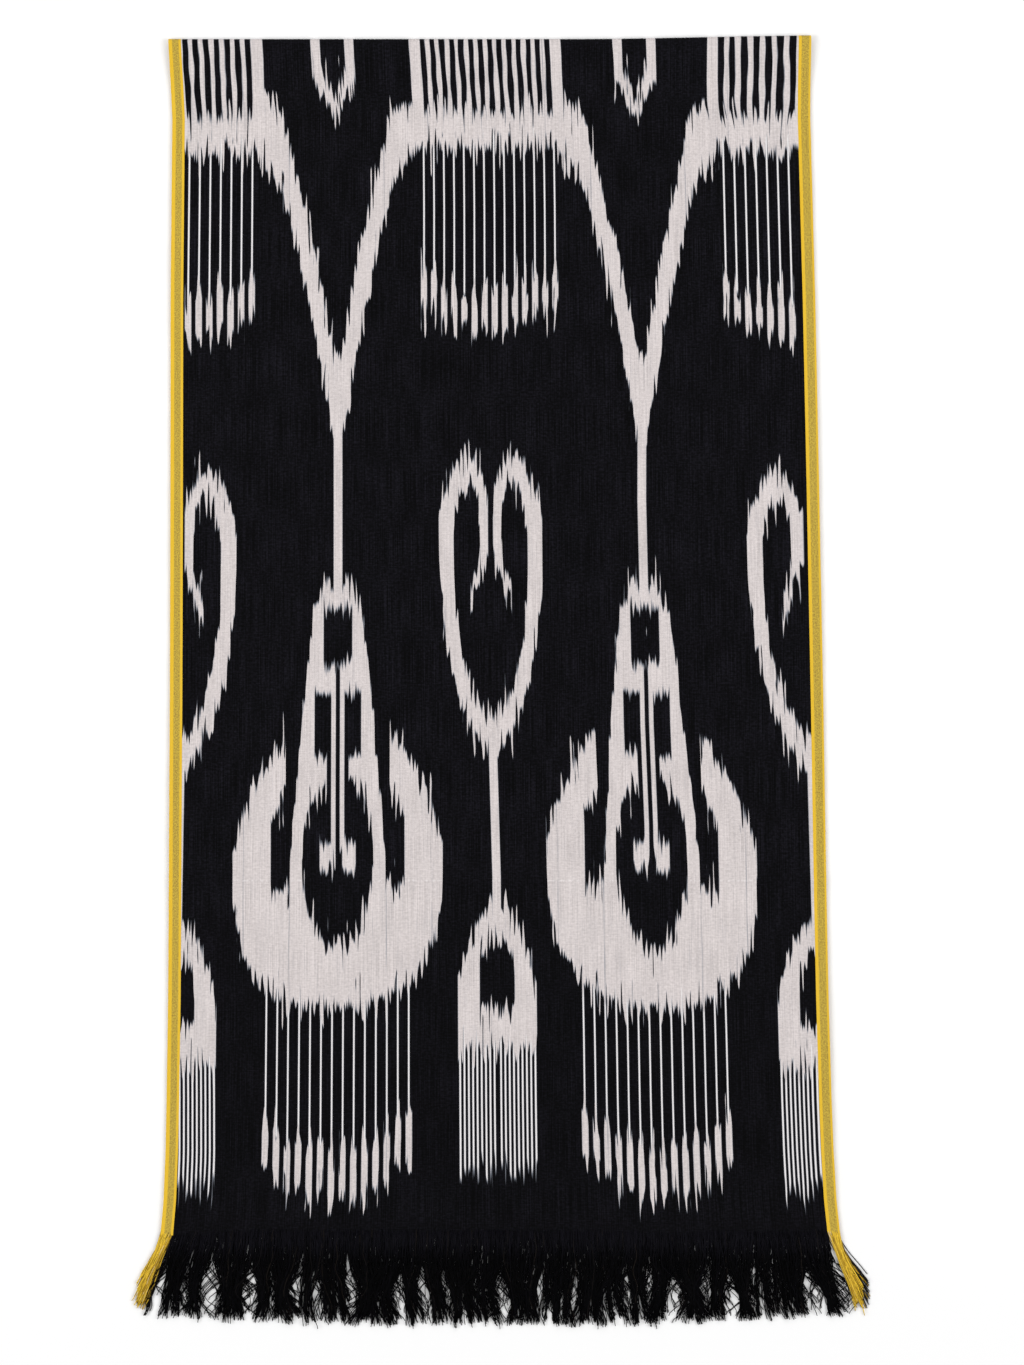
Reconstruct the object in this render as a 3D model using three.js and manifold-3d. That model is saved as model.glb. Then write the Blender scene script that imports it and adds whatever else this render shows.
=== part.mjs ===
// A silk ikat scarf, folded in half across its length and laid flat, with both fringed ends together.
// Millimetres. +X runs across the cloth, +Y from the fringes towards the fold, and +Z is up.
// The origin is the middle of the outline, on the surface that the scarf lies on.

import * as THREE from "three";
import { mergeVertices } from "three/addons/utils/BufferGeometryUtils.js";
import Module from "manifold-3d";

// The cloth
const WALL = 1.2;
const SEAM = 0.3; // left between pieces that meet
const SELVEDGE_WIDTH = 8.8;
const LAYER_GAP = 0.4; // between the two halves
const SETTLED_LIFT = WALL + LAYER_GAP; // underside of the upper half

// The fold: a round bend under which the cloth comes back, and the stretch where it settles
const BEND_RADIUS = 2.2; // to the middle of the wall
const BEND_STEPS = 8;
const BEND_DOWN = BEND_RADIUS + WALL / 2; // from the outermost line of the fold to the bend's axis
const SETTLE_LENGTH = 36;
const SETTLE_STEPS = 6;
const ROW_STEP = 42; // along the rest of the cloth
const PANEL_COLUMNS = 12;

// Long edges of the upper half: how far from the fold, and how far from the middle of the outline
const OUTLINE = [
  { down: 0, left: -232.8, right: 219.8 },
  { down: 56, left: -230.2, right: 219.4 },
  { down: 113, left: -230.7, right: 221.0 },
  { down: 183, left: -231.4, right: 222.9 },
  { down: 325, left: -231.6, right: 225.8 },
  { down: 466, left: -232.0, right: 228.6 },
  { down: 607, left: -232.7, right: 230.9 },
  { down: 677, left: -233.2, right: 232.3 },
  { down: 748, left: -234.3, right: 234.4 },
  { down: 783, left: -235.0, right: 235.8 },
  { down: 818, left: -236.4, right: 237.9 },
  { down: 843, left: -238.6, right: 240.6 },
];

// Low swells of the upper half, where it doesn't quite touch the lower one
const SWELLS = [
  { across: -215, down: 120, halfWidth: 45, halfLength: 90, lift: 0.7 },
  { across: 212, down: 300, halfWidth: 40, halfLength: 120, lift: 0.6 },
  { across: -60, down: 420, halfWidth: 110, halfLength: 160, lift: 0.4 },
  { across: -220, down: 560, halfWidth: 40, halfLength: 80, lift: 0.8 },
  { across: 222, down: 700, halfWidth: 45, halfLength: 75, lift: 0.9 },
  { across: 60, down: 730, halfWidth: 90, halfLength: 60, lift: 0.5 },
];
const CREASE = { down: 593, halfWidth: 7, lift: 0.5 }; // pressed across while it was stored
const CREASE_ROWS = [-1.6, -0.8, 0, 0.8, 1.6]; // in its half widths

// The fringe: each clump of locks draws together towards its tips
const STRIP_DEPTH = 5; // woven edge that the locks are rooted in
const ROOT_INSIDE = 2.5;
const CLUMPS = 27;
const LOCKS_PER_CLUMP = 3;
const LOCK_STEPS = 4;
const LOCK_TIP_SPACING = 3.7;
const LOCK_HALF_WIDTH = { root: 2.1, tip: 0.7 };
const LOCK_HALF_HEIGHT = 0.4;
const LOCK_HEIGHT = 0.74; // middle of a lock over its half's underside
const FRINGE_LENGTH = { middle: 63.5, side: 57 };
const LENGTH_SCATTER = 2.5;
const TIP_SCATTER = 2.2;
const LOCK_WAVE = 0.5;
const LOCK_BEND = 1.25; // power of the way along a lock at which it turns to its tip
const LOCK_TAPER = 2; // power at which it narrows
const LEAN_REACH = 0.5; // share of the half width over which the fringe splays outwards

// The tails: the selvedges' own threads, past the hem
const TAIL_LOCKS = 4;
const TAIL_LENGTH = 50;
const TAIL_TIP_SPACING = 2.5;
const TAIL_HALF_WIDTH = { root: 0.8, tip: 0.6 };

const HALVES = [
  {
    name: "front",
    lift: SETTLED_LIFT,
    inset: 0,
    hem: 843,
    sides: 4,
    seed: 11,
    lean: { left: -18.5, right: 14 },
    tailLean: { left: -20.5, right: 17 },
  },
  {
    name: "back",
    lift: 0,
    inset: 1.2,
    hem: 841.5,
    sides: 3,
    seed: 29,
    lean: { left: -15, right: 16 },
    tailLean: { left: -18, right: 19 },
  },
];

const silk = new THREE.MeshStandardMaterial({ color: 0x141417, roughness: 0.62, metalness: 0 });
const selvedgeSilk = new THREE.MeshStandardMaterial({ color: 0xd2a838, roughness: 0.6, metalness: 0 });
const fringeSilk = new THREE.MeshStandardMaterial({ color: 0x0b0a0d, roughness: 0.55, metalness: 0 });

const wasm = await Module();
wasm.setup();

// Repeatable random numbers from 0 to 1
function randomFrom(seed) {
  let state = seed;
  return () => {
    state = (state * 1664525 + 1013904223) % 4294967296;
    return state / 4294967296;
  };
}

function edgesAt(down, inset) {
  const next = Math.max(1, OUTLINE.findIndex((row) => row.down >= down));
  const from = OUTLINE[next - 1];
  const to = OUTLINE[next];
  const share = (down - from.down) / (to.down - from.down);
  return {
    left: THREE.MathUtils.lerp(from.left, to.left, share) + inset,
    right: THREE.MathUtils.lerp(from.right, to.right, share) - inset,
  };
}

function bump(distance, reach) {
  return Math.exp(-((distance / reach) ** 2));
}

function swellAt(across, down) {
  const swells = SWELLS.map(
    (s) => s.lift * bump(across - s.across, s.halfWidth) * bump(down - s.down, s.halfLength),
  );
  return swells.reduce((sum, lift) => sum + lift, CREASE.lift * bump(down - CREASE.down, CREASE.halfWidth));
}

// Rows along the upper half, from under the fold, round it and down to the hem.
// `facing` is the direction, away from the fold and up, in which the wall's outer side lies.
function upperRows(hem) {
  const rows = [];
  const axisHeight = BEND_DOWN - SETTLED_LIFT;
  for (let i = 0; i <= BEND_STEPS; i++) {
    const angle = -Math.PI / 2 - (Math.PI * i) / BEND_STEPS;
    const facing = { down: Math.cos(angle), up: Math.sin(angle) };
    rows.push({
      down: BEND_DOWN + BEND_RADIUS * facing.down,
      height: () => axisHeight + BEND_RADIUS * facing.up,
      facing,
    });
  }
  const drop = axisHeight + BEND_RADIUS - WALL / 2;
  const settleEnd = BEND_DOWN + SETTLE_LENGTH;
  const downs = [];
  for (let i = 1; i <= SETTLE_STEPS; i++) downs.push(BEND_DOWN + (SETTLE_LENGTH * i) / SETTLE_STEPS);
  const steps = Math.round((hem - settleEnd) / ROW_STEP);
  for (let i = 1; i <= steps; i++) downs.push(settleEnd + ((hem - settleEnd) * i) / steps);
  for (const place of CREASE_ROWS) downs.push(CREASE.down + place * CREASE.halfWidth);
  for (const down of downs.sort((a, b) => a - b)) {
    const settled = THREE.MathUtils.smoothstep(down, BEND_DOWN, settleEnd);
    rows.push({
      down,
      height: (across) => WALL / 2 + drop * (1 - settled) + settled * swellAt(across, down),
      facing: { down: 0, up: 1 },
    });
  }
  return rows;
}

// Rows along the lower half, which lies flat from its seam under the fold to its hem
function lowerRows(hem) {
  const start = BEND_DOWN + SEAM;
  const downs = [start, ...OUTLINE.map((row) => row.down).filter((down) => down > start && down < hem), hem];
  return downs.map((down) => ({ down, height: () => WALL / 2, facing: { down: 0, up: 1 } }));
}

// A wall of cloth over `rows`, from `span(row).left` to `span(row).right`
function clothWall(rows, columns, span) {
  const perSide = rows.length * (columns + 1);
  const points = new Float32Array(perSide * 6);
  const index = (row, column, side) => side * perSide + row * (columns + 1) + column;
  rows.forEach((row, r) => {
    const { left, right } = span(row);
    for (let c = 0; c <= columns; c++) {
      const across = THREE.MathUtils.lerp(left, right, c / columns);
      for (const [side, offset] of [[0, WALL / 2], [1, -WALL / 2]]) {
        const y = -(row.down + row.facing.down * offset);
        const z = row.height(across) + row.facing.up * offset;
        points.set([across, y, z], 3 * index(r, c, side));
      }
    }
  });
  const faces = [];
  const quad = (a, b, c, d) => faces.push(a, b, c, a, c, d);
  const lastRow = rows.length - 1;
  for (let r = 0; r < lastRow; r++) {
    for (let c = 0; c < columns; c++) {
      quad(index(r, c, 0), index(r + 1, c, 0), index(r + 1, c + 1, 0), index(r, c + 1, 0));
      quad(index(r, c, 1), index(r, c + 1, 1), index(r + 1, c + 1, 1), index(r + 1, c, 1));
    }
    quad(index(r, 0, 0), index(r, 0, 1), index(r + 1, 0, 1), index(r + 1, 0, 0));
    quad(index(r, columns, 0), index(r + 1, columns, 0), index(r + 1, columns, 1), index(r, columns, 1));
  }
  for (let c = 0; c < columns; c++) {
    quad(index(0, c, 0), index(0, c + 1, 0), index(0, c + 1, 1), index(0, c, 1));
    quad(index(lastRow, c, 0), index(lastRow, c, 1), index(lastRow, c + 1, 1), index(lastRow, c + 1, 0));
  }
  return new THREE.BufferGeometry()
    .setAttribute("position", new THREE.BufferAttribute(points, 3))
    .setIndex(faces);
}

// A closed tapering lock of `sides` sides along `path`, which runs towards -Y
function lockGeometry(path, sides) {
  const points = [];
  const faces = [];
  const firstAngle = -Math.PI / 2 + Math.PI / sides;
  const roundness = 1 / Math.cos(Math.PI / sides);
  for (const station of path) {
    for (let k = 0; k < sides; k++) {
      const angle = firstAngle + (2 * Math.PI * k) / sides;
      const out = sides === 4 ? roundness : 1;
      points.push(
        station.x + station.halfWidth * out * Math.cos(angle),
        station.y,
        station.z + station.halfHeight * out * Math.sin(angle),
      );
    }
  }
  for (let i = 0; i < path.length - 1; i++) {
    for (let k = 0; k < sides; k++) {
      const a = i * sides + k;
      const b = i * sides + ((k + 1) % sides);
      faces.push(a, b, b + sides, a, b + sides, a + sides);
    }
  }
  const end = (path.length - 1) * sides;
  for (let k = 1; k < sides - 1; k++) {
    faces.push(0, k + 1, k);
    faces.push(end, end + k, end + k + 1);
  }
  return new THREE.BufferGeometry()
    .setAttribute("position", new THREE.Float32BufferAttribute(points, 3))
    .setIndex(faces);
}

function toManifold(geometry) {
  const bare = geometry.clone();
  bare.deleteAttribute("normal");
  bare.deleteAttribute("uv");
  const merged = mergeVertices(bare);
  const vertProperties = new Float32Array(merged.attributes.position.array);
  return new wasm.Manifold(
    new wasm.Mesh({ numProp: 3, vertProperties, triVerts: new Uint32Array(merged.index.array) }),
  );
}

// The locks joined by the woven strip that they are rooted in
function rootedLocks(strip, locks) {
  const whole = locks.reduce((sum, lock) => sum.add(toManifold(lock)), toManifold(strip)).getMesh();
  return new THREE.BufferGeometry()
    .setAttribute("position", new THREE.BufferAttribute(new Float32Array(whole.vertProperties), 3))
    .setIndex(new THREE.BufferAttribute(new Uint32Array(whole.triVerts), 1));
}

// Strip along the hem from `left` to `right`; y is 0 at its upper edge
function stripGeometry(left, right) {
  return new THREE.BoxGeometry(right - left, STRIP_DEPTH, WALL).translate(
    (left + right) / 2,
    -STRIP_DEPTH / 2,
    WALL / 2,
  );
}

// One lock, rooted at `rootX` in the strip and heading for `tipX` at its neighbours' usual length
function lockBetween(rootX, tipX, { length, usualLength, wave, halfWidth, sides }) {
  const path = [];
  const rootDown = STRIP_DEPTH - ROOT_INSIDE;
  for (let i = 0; i <= LOCK_STEPS; i++) {
    const down = THREE.MathUtils.lerp(rootDown, length, i / LOCK_STEPS);
    const share = (down - rootDown) / (usualLength - rootDown);
    path.push({
      x: THREE.MathUtils.lerp(rootX, tipX, share ** LOCK_BEND) + wave * Math.sin(2 * Math.PI * share),
      y: -down,
      z: LOCK_HEIGHT,
      halfWidth: THREE.MathUtils.lerp(halfWidth.root, halfWidth.tip, (i / LOCK_STEPS) ** LOCK_TAPER),
      halfHeight: LOCK_HALF_HEIGHT,
    });
  }
  return lockGeometry(path, sides);
}

// How far the fringe has splayed outwards at its tips, for a root at `across`
function leanAt(across, left, right, lean) {
  const middle = (left + right) / 2;
  const share = Math.abs(across - middle) / ((right - left) / 2);
  const splay = THREE.MathUtils.smoothstep(share, 1 - LEAN_REACH, 1) * share;
  return splay * (across < middle ? lean.left : lean.right);
}

function fringeGeometry(half) {
  const random = randomFrom(half.seed);
  const edges = edgesAt(half.hem, half.inset);
  const left = edges.left + SELVEDGE_WIDTH + SEAM;
  const right = edges.right - SELVEDGE_WIDTH - SEAM;
  const clumpPitch = (right - left) / CLUMPS;
  const lockPitch = clumpPitch / LOCKS_PER_CLUMP;
  const locks = [];
  for (let clump = 0; clump < CLUMPS; clump++) {
    const middle = left + (clump + 0.5) * clumpPitch;
    const tipMiddle = middle + leanAt(middle, left, right, half.lean) + TIP_SCATTER * (2 * random() - 1);
    const sideShare = Math.abs(2 * (clump + 0.5) - CLUMPS) / CLUMPS;
    const usualLength = THREE.MathUtils.lerp(FRINGE_LENGTH.middle, FRINGE_LENGTH.side, sideShare ** 2);
    const wave = LOCK_WAVE * (2 * random() - 1);
    for (let lock = 0; lock < LOCKS_PER_CLUMP; lock++) {
      const place = lock - (LOCKS_PER_CLUMP - 1) / 2;
      const length = usualLength + LENGTH_SCATTER * (2 * random() - 1);
      const form = { length, usualLength, wave, halfWidth: LOCK_HALF_WIDTH, sides: half.sides };
      locks.push(lockBetween(middle + place * lockPitch, tipMiddle + place * LOCK_TIP_SPACING, form));
    }
  }
  return rootedLocks(stripGeometry(left, right), locks);
}

function tailGeometry(half, side) {
  const random = randomFrom(half.seed + (side === "left" ? 1 : 2));
  const edges = edgesAt(half.hem, half.inset);
  const outwards = side === "left" ? -1 : 1;
  const inner = edges[side] - outwards * SELVEDGE_WIDTH;
  const [left, right] = side === "left" ? [edges.left, inner] : [inner, edges.right];
  const rootPitch = SELVEDGE_WIDTH / TAIL_LOCKS;
  const middle = (left + right) / 2;
  const locks = [];
  for (let lock = 0; lock < TAIL_LOCKS; lock++) {
    const place = lock - (TAIL_LOCKS - 1) / 2;
    const length = TAIL_LENGTH + LENGTH_SCATTER * (2 * random() - 1);
    const tipX = middle + half.tailLean[side] + place * TAIL_TIP_SPACING;
    const form = { length, usualLength: TAIL_LENGTH, wave: 0, halfWidth: TAIL_HALF_WIDTH, sides: half.sides };
    locks.push(lockBetween(middle + place * rootPitch, tipX, form));
  }
  return rootedLocks(stripGeometry(left, right), locks);
}

function piece(name, geometry, material) {
  const mesh = new THREE.Mesh(geometry, material);
  mesh.name = name;
  return mesh;
}

function makeHalf(half) {
  const isUpper = half.lift > 0;
  const rows = isUpper ? upperRows(half.hem) : lowerRows(half.hem);
  const edges = (row) => edgesAt(Math.max(0, row.down), half.inset);
  const spans = {
    panel: (row) => ({
      left: edges(row).left + SELVEDGE_WIDTH + SEAM,
      right: edges(row).right - SELVEDGE_WIDTH - SEAM,
    }),
    selvedge_left: (row) => ({ left: edges(row).left, right: edges(row).left + SELVEDGE_WIDTH }),
    selvedge_right: (row) => ({ left: edges(row).right - SELVEDGE_WIDTH, right: edges(row).right }),
  };
  const cloth = new THREE.Group();
  cloth.add(
    piece(`${half.name}_panel`, clothWall(rows, isUpper ? PANEL_COLUMNS : 1, spans.panel), silk),
    piece(`${half.name}_selvedge_left`, clothWall(rows, 1, spans.selvedge_left), selvedgeSilk),
    piece(`${half.name}_selvedge_right`, clothWall(rows, 1, spans.selvedge_right), selvedgeSilk),
  );
  const hem = new THREE.Group();
  hem.position.y = -(half.hem + SEAM);
  hem.add(
    piece(`${half.name}_fringe`, fringeGeometry(half), fringeSilk),
    piece(`${half.name}_tail_left`, tailGeometry(half, "left"), selvedgeSilk),
    piece(`${half.name}_tail_right`, tailGeometry(half, "right"), selvedgeSilk),
  );
  const layer = new THREE.Group();
  layer.position.z = half.lift;
  layer.add(cloth, hem);
  return layer;
}

const scarf = new THREE.Group();
for (const half of HALVES) scarf.add(makeHalf(half));

// Centre the outline over the origin, with the underside on the surface.
const outline = new THREE.Box3().setFromObject(scarf);
const middle = outline.getCenter(new THREE.Vector3());
scarf.position.set(-middle.x, -middle.y, -outline.min.z);

export default scarf;
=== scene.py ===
"""A silk ikat scarf, folded in half and laid flat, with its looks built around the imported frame.

Metres. +X runs across the cloth, +Y from the fringes towards the fold, and +Z is up.
The chart of the pattern is in millimetres, as a weaver would mark it.
"""

import math

import bpy
import numpy as np
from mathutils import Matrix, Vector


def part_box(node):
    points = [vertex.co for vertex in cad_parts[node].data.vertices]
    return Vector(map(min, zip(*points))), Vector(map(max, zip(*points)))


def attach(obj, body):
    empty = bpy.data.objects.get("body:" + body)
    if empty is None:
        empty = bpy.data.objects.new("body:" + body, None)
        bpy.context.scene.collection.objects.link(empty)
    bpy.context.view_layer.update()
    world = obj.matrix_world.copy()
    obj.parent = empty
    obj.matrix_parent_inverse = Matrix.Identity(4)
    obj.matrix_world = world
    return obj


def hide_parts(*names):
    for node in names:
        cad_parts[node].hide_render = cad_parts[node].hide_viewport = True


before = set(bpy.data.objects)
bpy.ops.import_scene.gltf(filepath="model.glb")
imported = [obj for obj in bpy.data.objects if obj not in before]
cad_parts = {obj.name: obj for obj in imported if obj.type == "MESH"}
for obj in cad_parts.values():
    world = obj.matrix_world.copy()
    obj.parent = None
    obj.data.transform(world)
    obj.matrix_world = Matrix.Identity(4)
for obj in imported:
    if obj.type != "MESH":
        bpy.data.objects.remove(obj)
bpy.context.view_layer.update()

bl_info = {
    "name": "Silk Ikat Scarf",
    "version": (1, 0, 0),
    "blender": (4, 5, 0),
    "location": "3D View > Sidebar > Scarf",
    "description": "Builds a folded silk ikat scarf with its selvedges, fringes and tails",
    "category": "Object",
}

MM = 0.001
BODY = "root"

# Outline of the upper half: how far below the fold, and how far from the middle, in mm
OUTLINE_DOWN = (0, 56, 113, 183, 325, 466, 607, 677, 748, 783, 818, 843)
OUTLINE_LEFT = (
    -232.8, -230.2, -230.7, -231.4, -231.6, -232.0, -232.7, -233.2, -234.3, -235.0, -236.4, -238.6,
)
OUTLINE_RIGHT = (219.8, 219.4, 221.0, 222.9, 225.8, 228.6, 230.9, 232.3, 234.4, 235.8, 237.9, 240.6)
SELVEDGE = 8.8  # mm across
# Edges of the selvedge's stripes as its silk is marked, and where they lie on each side, in mm inwards
SELVEDGE_STRIPES = (0, 2.4, 7.0, 8.8)
STRIPES_AT = {"left": (0, 2.6, 7.1, 8.8), "right": (0, 1.1, 6.6, 8.8)}
TUCK = 0.25  # mm by which the middle cloth runs on under its selvedges

# Low swells of the upper half, in mm
SWELLS = (
    {"across": -215, "down": 120, "half_width": 45, "half_length": 90, "lift": 0.7},
    {"across": 212, "down": 300, "half_width": 40, "half_length": 120, "lift": 0.6},
    {"across": -60, "down": 420, "half_width": 110, "half_length": 160, "lift": 0.4},
    {"across": -220, "down": 560, "half_width": 40, "half_length": 80, "lift": 0.8},
    {"across": 222, "down": 700, "half_width": 45, "half_length": 75, "lift": 0.9},
    {"across": 60, "down": 730, "half_width": 90, "half_length": 60, "lift": 0.5},
)
# Crease pressed across the scarf while it was stored, in mm
CREASE_DOWN = 593
CREASE_RIDGES = ({"half_width": 7, "lift": 0.4}, {"half_width": 1.1, "lift": 0.14})
# Slight waves of the whole upper half: wavelengths across and along, phase and height, in mm
WAVES = (
    {"across": 310, "down": 173, "phase": 0.4, "height": 0.16},
    {"across": -190, "down": 97, "phase": 2.1, "height": 0.10},
    {"across": 83, "down": 260, "phase": 4.0, "height": 0.07},
)
# Puckers beside the tighter selvedges, in mm
PUCKER_REACH = 16
PUCKER_SLANT = 60
PUCKERS = ({"down": 41, "phase": 0.3, "height": 0.22}, {"down": 17.3, "phase": 1.9, "height": 0.10})

# Hems: how far below the fold each half ends, and how far its edges lie inside the upper half's, in mm
UPPER = {"name": "upper", "node": "front", "hem": 843, "inset": 0.0, "seed": 11}
LOWER = {"name": "lower", "node": "back", "hem": 841.5, "inset": 1.2, "seed": 29}
HALVES = (UPPER, LOWER)
SIDES = ("left", "right")
# Painted shade: below the hem the threads take the fringe's darker black, because the loose threads have less
# sheen than the woven cloth and shade each other
FRINGE_FROM = {"start": 849, "end": 861}  # mm below the fold; the threads darken from the cloth's black

outline_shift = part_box("front_selvedge_left")[0].x / MM - min(OUTLINE_LEFT)
fold_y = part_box("front_panel")[1].y

# The fold's right corner lies a little higher than the rest of it: from and to, across, and how much, in mm
CORNER_RISE = {"across": (50, 232), "height": 2.6, "fades_down": 90}


# The chart of the ikat, in mm: "down" from the fold, "across" from a motif's own axis.
# Combs, hearts and arches stand on three axes, and arms and flasks on two between them.
CLOTH_ACROSS = 443.0
COMB_AXES = (0.0, 221.5, 443.0)
FLASK_AXES = (110.75, 332.25)
# The warp was stretched unevenly, so the axes drift and the motifs at the sides are pulled about
COMB_DRIFT = {
    "down": (0, 46, 120, 346, 485, 590),
    "across": (-3.9, -2.1, -2.0, -3.3, -3.1, -0.7),
}
LEFT_FLASK_DRIFT = {
    "down": (0, 56, 200, 540),
    "across": (-2.5, -1.2, 0.0, -1.2),
}
RIGHT_FLASK_DRIFT = {
    "down": (0, 56, 219, 325, 483, 553, 700),
    "across": (-7.7, -6.0, -4.7, -6.6, -5.0, -2.9, -2.0),
}
LEFT_PULL = {
    "down": (40, 70, 466, 640, 720, 790),
    "shift": (-0.7, 0.2, -0.4, -2.4, -2.2, -0.9),
    "times": (1.09, 1.045, 1.055, 1.0, 1.0, 1.0),
}
# How far from the right edge these places of a motif lie, in the combs, drips, hearts and arches
RIGHT_PULL = {
    "place": (0, 4, 7.3, 36.5, 50, 75),
    "across": (
        {"down": 45, "at": (0, 5.1, 9.3, 46.6, 62, 84)},
        {"down": 70, "at": (4.0, 8.3, 11.9, 43.5, 58, 82)},
        {"down": 240, "at": (4.0, 8.3, 11.9, 43.5, 58, 82)},
        {"down": 290, "at": (0.5, 6.8, 12.0, 43.3, 56, 80)},
        {"down": 380, "at": (0.5, 6.8, 12.0, 43.3, 56, 80)},
        {"down": 640, "at": (-1.5, 3.2, 6.8, 36.2, 50, 75)},
    ),
}
MOTIF_REACH = 75.0  # half width within which a motif keeps its own scale
PULL_REACH = {"from": 1.9, "over": 116.58}  # beyond about 105 mm from a flask's axis its pull fades
SKEW = {"down": (0, 60, 300), "drop": (4.0, 5.6, 13.0)}  # drop at the cloth's edges

# Feathering: neighbouring warp threads were dyed a little too high or low, in pointed slivers
SLIVERS = {"across": 1.5, "along": 27.0, "height": 31.0, "least": 0.5, "peak": 2.4}
BUNDLES = {"across": 3.3, "along": 34.0, "height": 12.0}
THREADS = {"across": 0.36, "along": 9.0, "height": 2.8}
TIP_BLUR = 4.6
EDGE_BLUR = 0.5
CALMER = 0.45  # share of the feathering that small shapes take
FOOT_TAPER = 0.5  # of a tooth's taper, at its lower end
FINE_GLOW = 0.7  # how much paler the fine lines look than the broad shapes
# Places in the noise: how far apart neighbouring teeth, the sides of a motif and neighbouring threads
# read it, and where each kind starts
TOOTH_STEP = 3.7
SIDE_STEP = 11.3
THREAD_STEP = 3.77
TOOTH_PLACE = (0.41, 0.5)
THREAD_PLACE = 9.3
COMB_PLACE = 3.6
FLASK_PLACE = 51.2

COMB = {
    "pitch": 6.85, "half_line": 1.5, "wobble": 1.6, "half_width": 44.2, "bottom": 66.0,
    "side_line": 50.4, "half_side_line": 3.9, "side_wobble": 0.4,
}
BAND = {"top": 51.0, "bottom": 74.0, "half_width": 57.0}
DRIP = {
    "pitch": 7.22, "half_line": 0.56, "half_width": 50.6, "top": 60.0,
    "tooth_top": 156.6, "top_sag": 14.1, "tooth_bottom": 184.0, "bottom_sag": 21.0,
    "half_tooth": 2.15, "taper": 9.0, "ragged": 13.0,
}
HEART = {
    "lobe": 16.2, "lobe_down": 338.6, "lobe_width": 20.2, "lobe_height": 49.0, "lobe_power": 1.5,
    "cleft": 38.0, "cleft_power": 1.7, "slot": 1.8, "slot_bottom": 412.0,
    "half_width": 36.6, "bottom_from": 345.7, "bottom_height": 158.0, "bottom_power": 1.5, "bottom_fall": 2.2,
    "hollow_lobe": 14.5, "hollow_lobe_in": 7.2, "hollow_lobe_out": 11.8, "hollow_lobe_down": 350.0,
    "hollow_lobe_height": 37.0,
    "hollow_half": 26.2, "hollow_from": 368.0, "hollow_height": 109.0, "hollow_power": 1.7,
    "leg_half": 7.4, "leg_bottom": 358.0, "leg_slope": 3.0, "hook_half": 14.5, "hook_top": 362.0,
    "hook_slope": 3.3, "hook_tip": 406.0,
}
STEM = {"half_width": 2.9, "top": 478.0, "bottom": 614.0}
ARCH = {
    "half_width": 27.4, "down": 667.0, "height": 60.0, "power": 1.6, "fall": 1.25, "solid": 711.0,
    "hole_half": 12.2, "hole_down": 655.0, "hole_height": 23.0, "hole_bottom": 684.0,
    "pitch": 2.98, "first_line": 2.25, "half_line": 0.62, "lines_half": 27.6,
    "line_top": 697.0, "line_bottom": 797.0,
}
NOTCH = {
    "half_width": 15.4, "down": 25.0, "height": 29.0, "power": 1.25,
    "hollow_half": 8.75, "hollow_down": 18.0, "hollow_height": 24.0, "hollow_power": 1.1,
}
ARMS = {
    "inner_tip": 243.0, "inner_slope": 9.72, "inner_power": 0.811, "knob_top": 46.5,
    "outer_tip": 285.0, "outer_slope": 9.17, "outer_power": 0.832,
    "shoulder": 166.4, "shoulder_slope": 1.6, "half_width": 57.0,
    "stem_half": 3.05, "stem_top": 225.0, "stem_bottom": 392.0,
}
BELL = {
    "crown": 380.0, "crown_from": 4.5, "crown_reach": 8.0, "crown_drop": 13.0, "crown_most": 1.1,
    "notch": 4.2, "half_notch": 1.1, "notch_bottom": 388.0,
    "neck_half": 13.8, "half_width": 33.6, "top": 386.0, "spread": 19.5, "height": 194.0, "power": 1.333,
    "window_half": 10.1, "window_top": 401.0, "window_bottom": 440.0,
    "line_inner": 1.5, "line_outer": 4.6, "line_bottom": 574.0,
    "pane_inner": 4.6, "pane_outer": 16.4, "pane_top": 460.0, "pane_bottom": 505.0,
    "gap_outer": 7.7, "gap_top": 501.0, "gap_bottom": 536.0,
    "eye_down": 580.0, "eye_half": 25.1, "eye_height": 56.0, "eye_power": 2.5,
    "eye_depth": 62.0, "eye_taper": 1.5,
    "foot_inner": 3.2, "foot_outer": 12.6, "foot_top": 567.0, "foot_bottom": 586.0,
}
CRESCENT = {
    "half_width": 73.6, "down": 585.6, "height": 97.0, "power": 2.5,
    "arm_from": 38.0, "arm_reach": 36.5, "arm_down": 575.0, "arm_height": 81.0, "arm_power": 1.3,
    "channel_inner": 33.6, "arm_inner": 36.4, "channel_outer": 46.9,
    "channel_top": 531.0, "channel_slope": 1.8, "channel_bottom": 597.0,
}
RAIN = {
    "pitch": 7.62, "half_line": 0.56, "half_width": 53.4, "top": 660.0,
    "tooth_top": 753.0, "top_sag": 24.0, "tooth_bottom": 789.0, "bottom_sag": 31.0,
    "half_tooth": 2.2, "taper": 9.0, "ragged": 13.0,
}
WARP_MARKS = ({"across": 34.0, "half_line": 0.35}, {"across": 66.0, "half_line": 0.3})  # in the crescent

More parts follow.
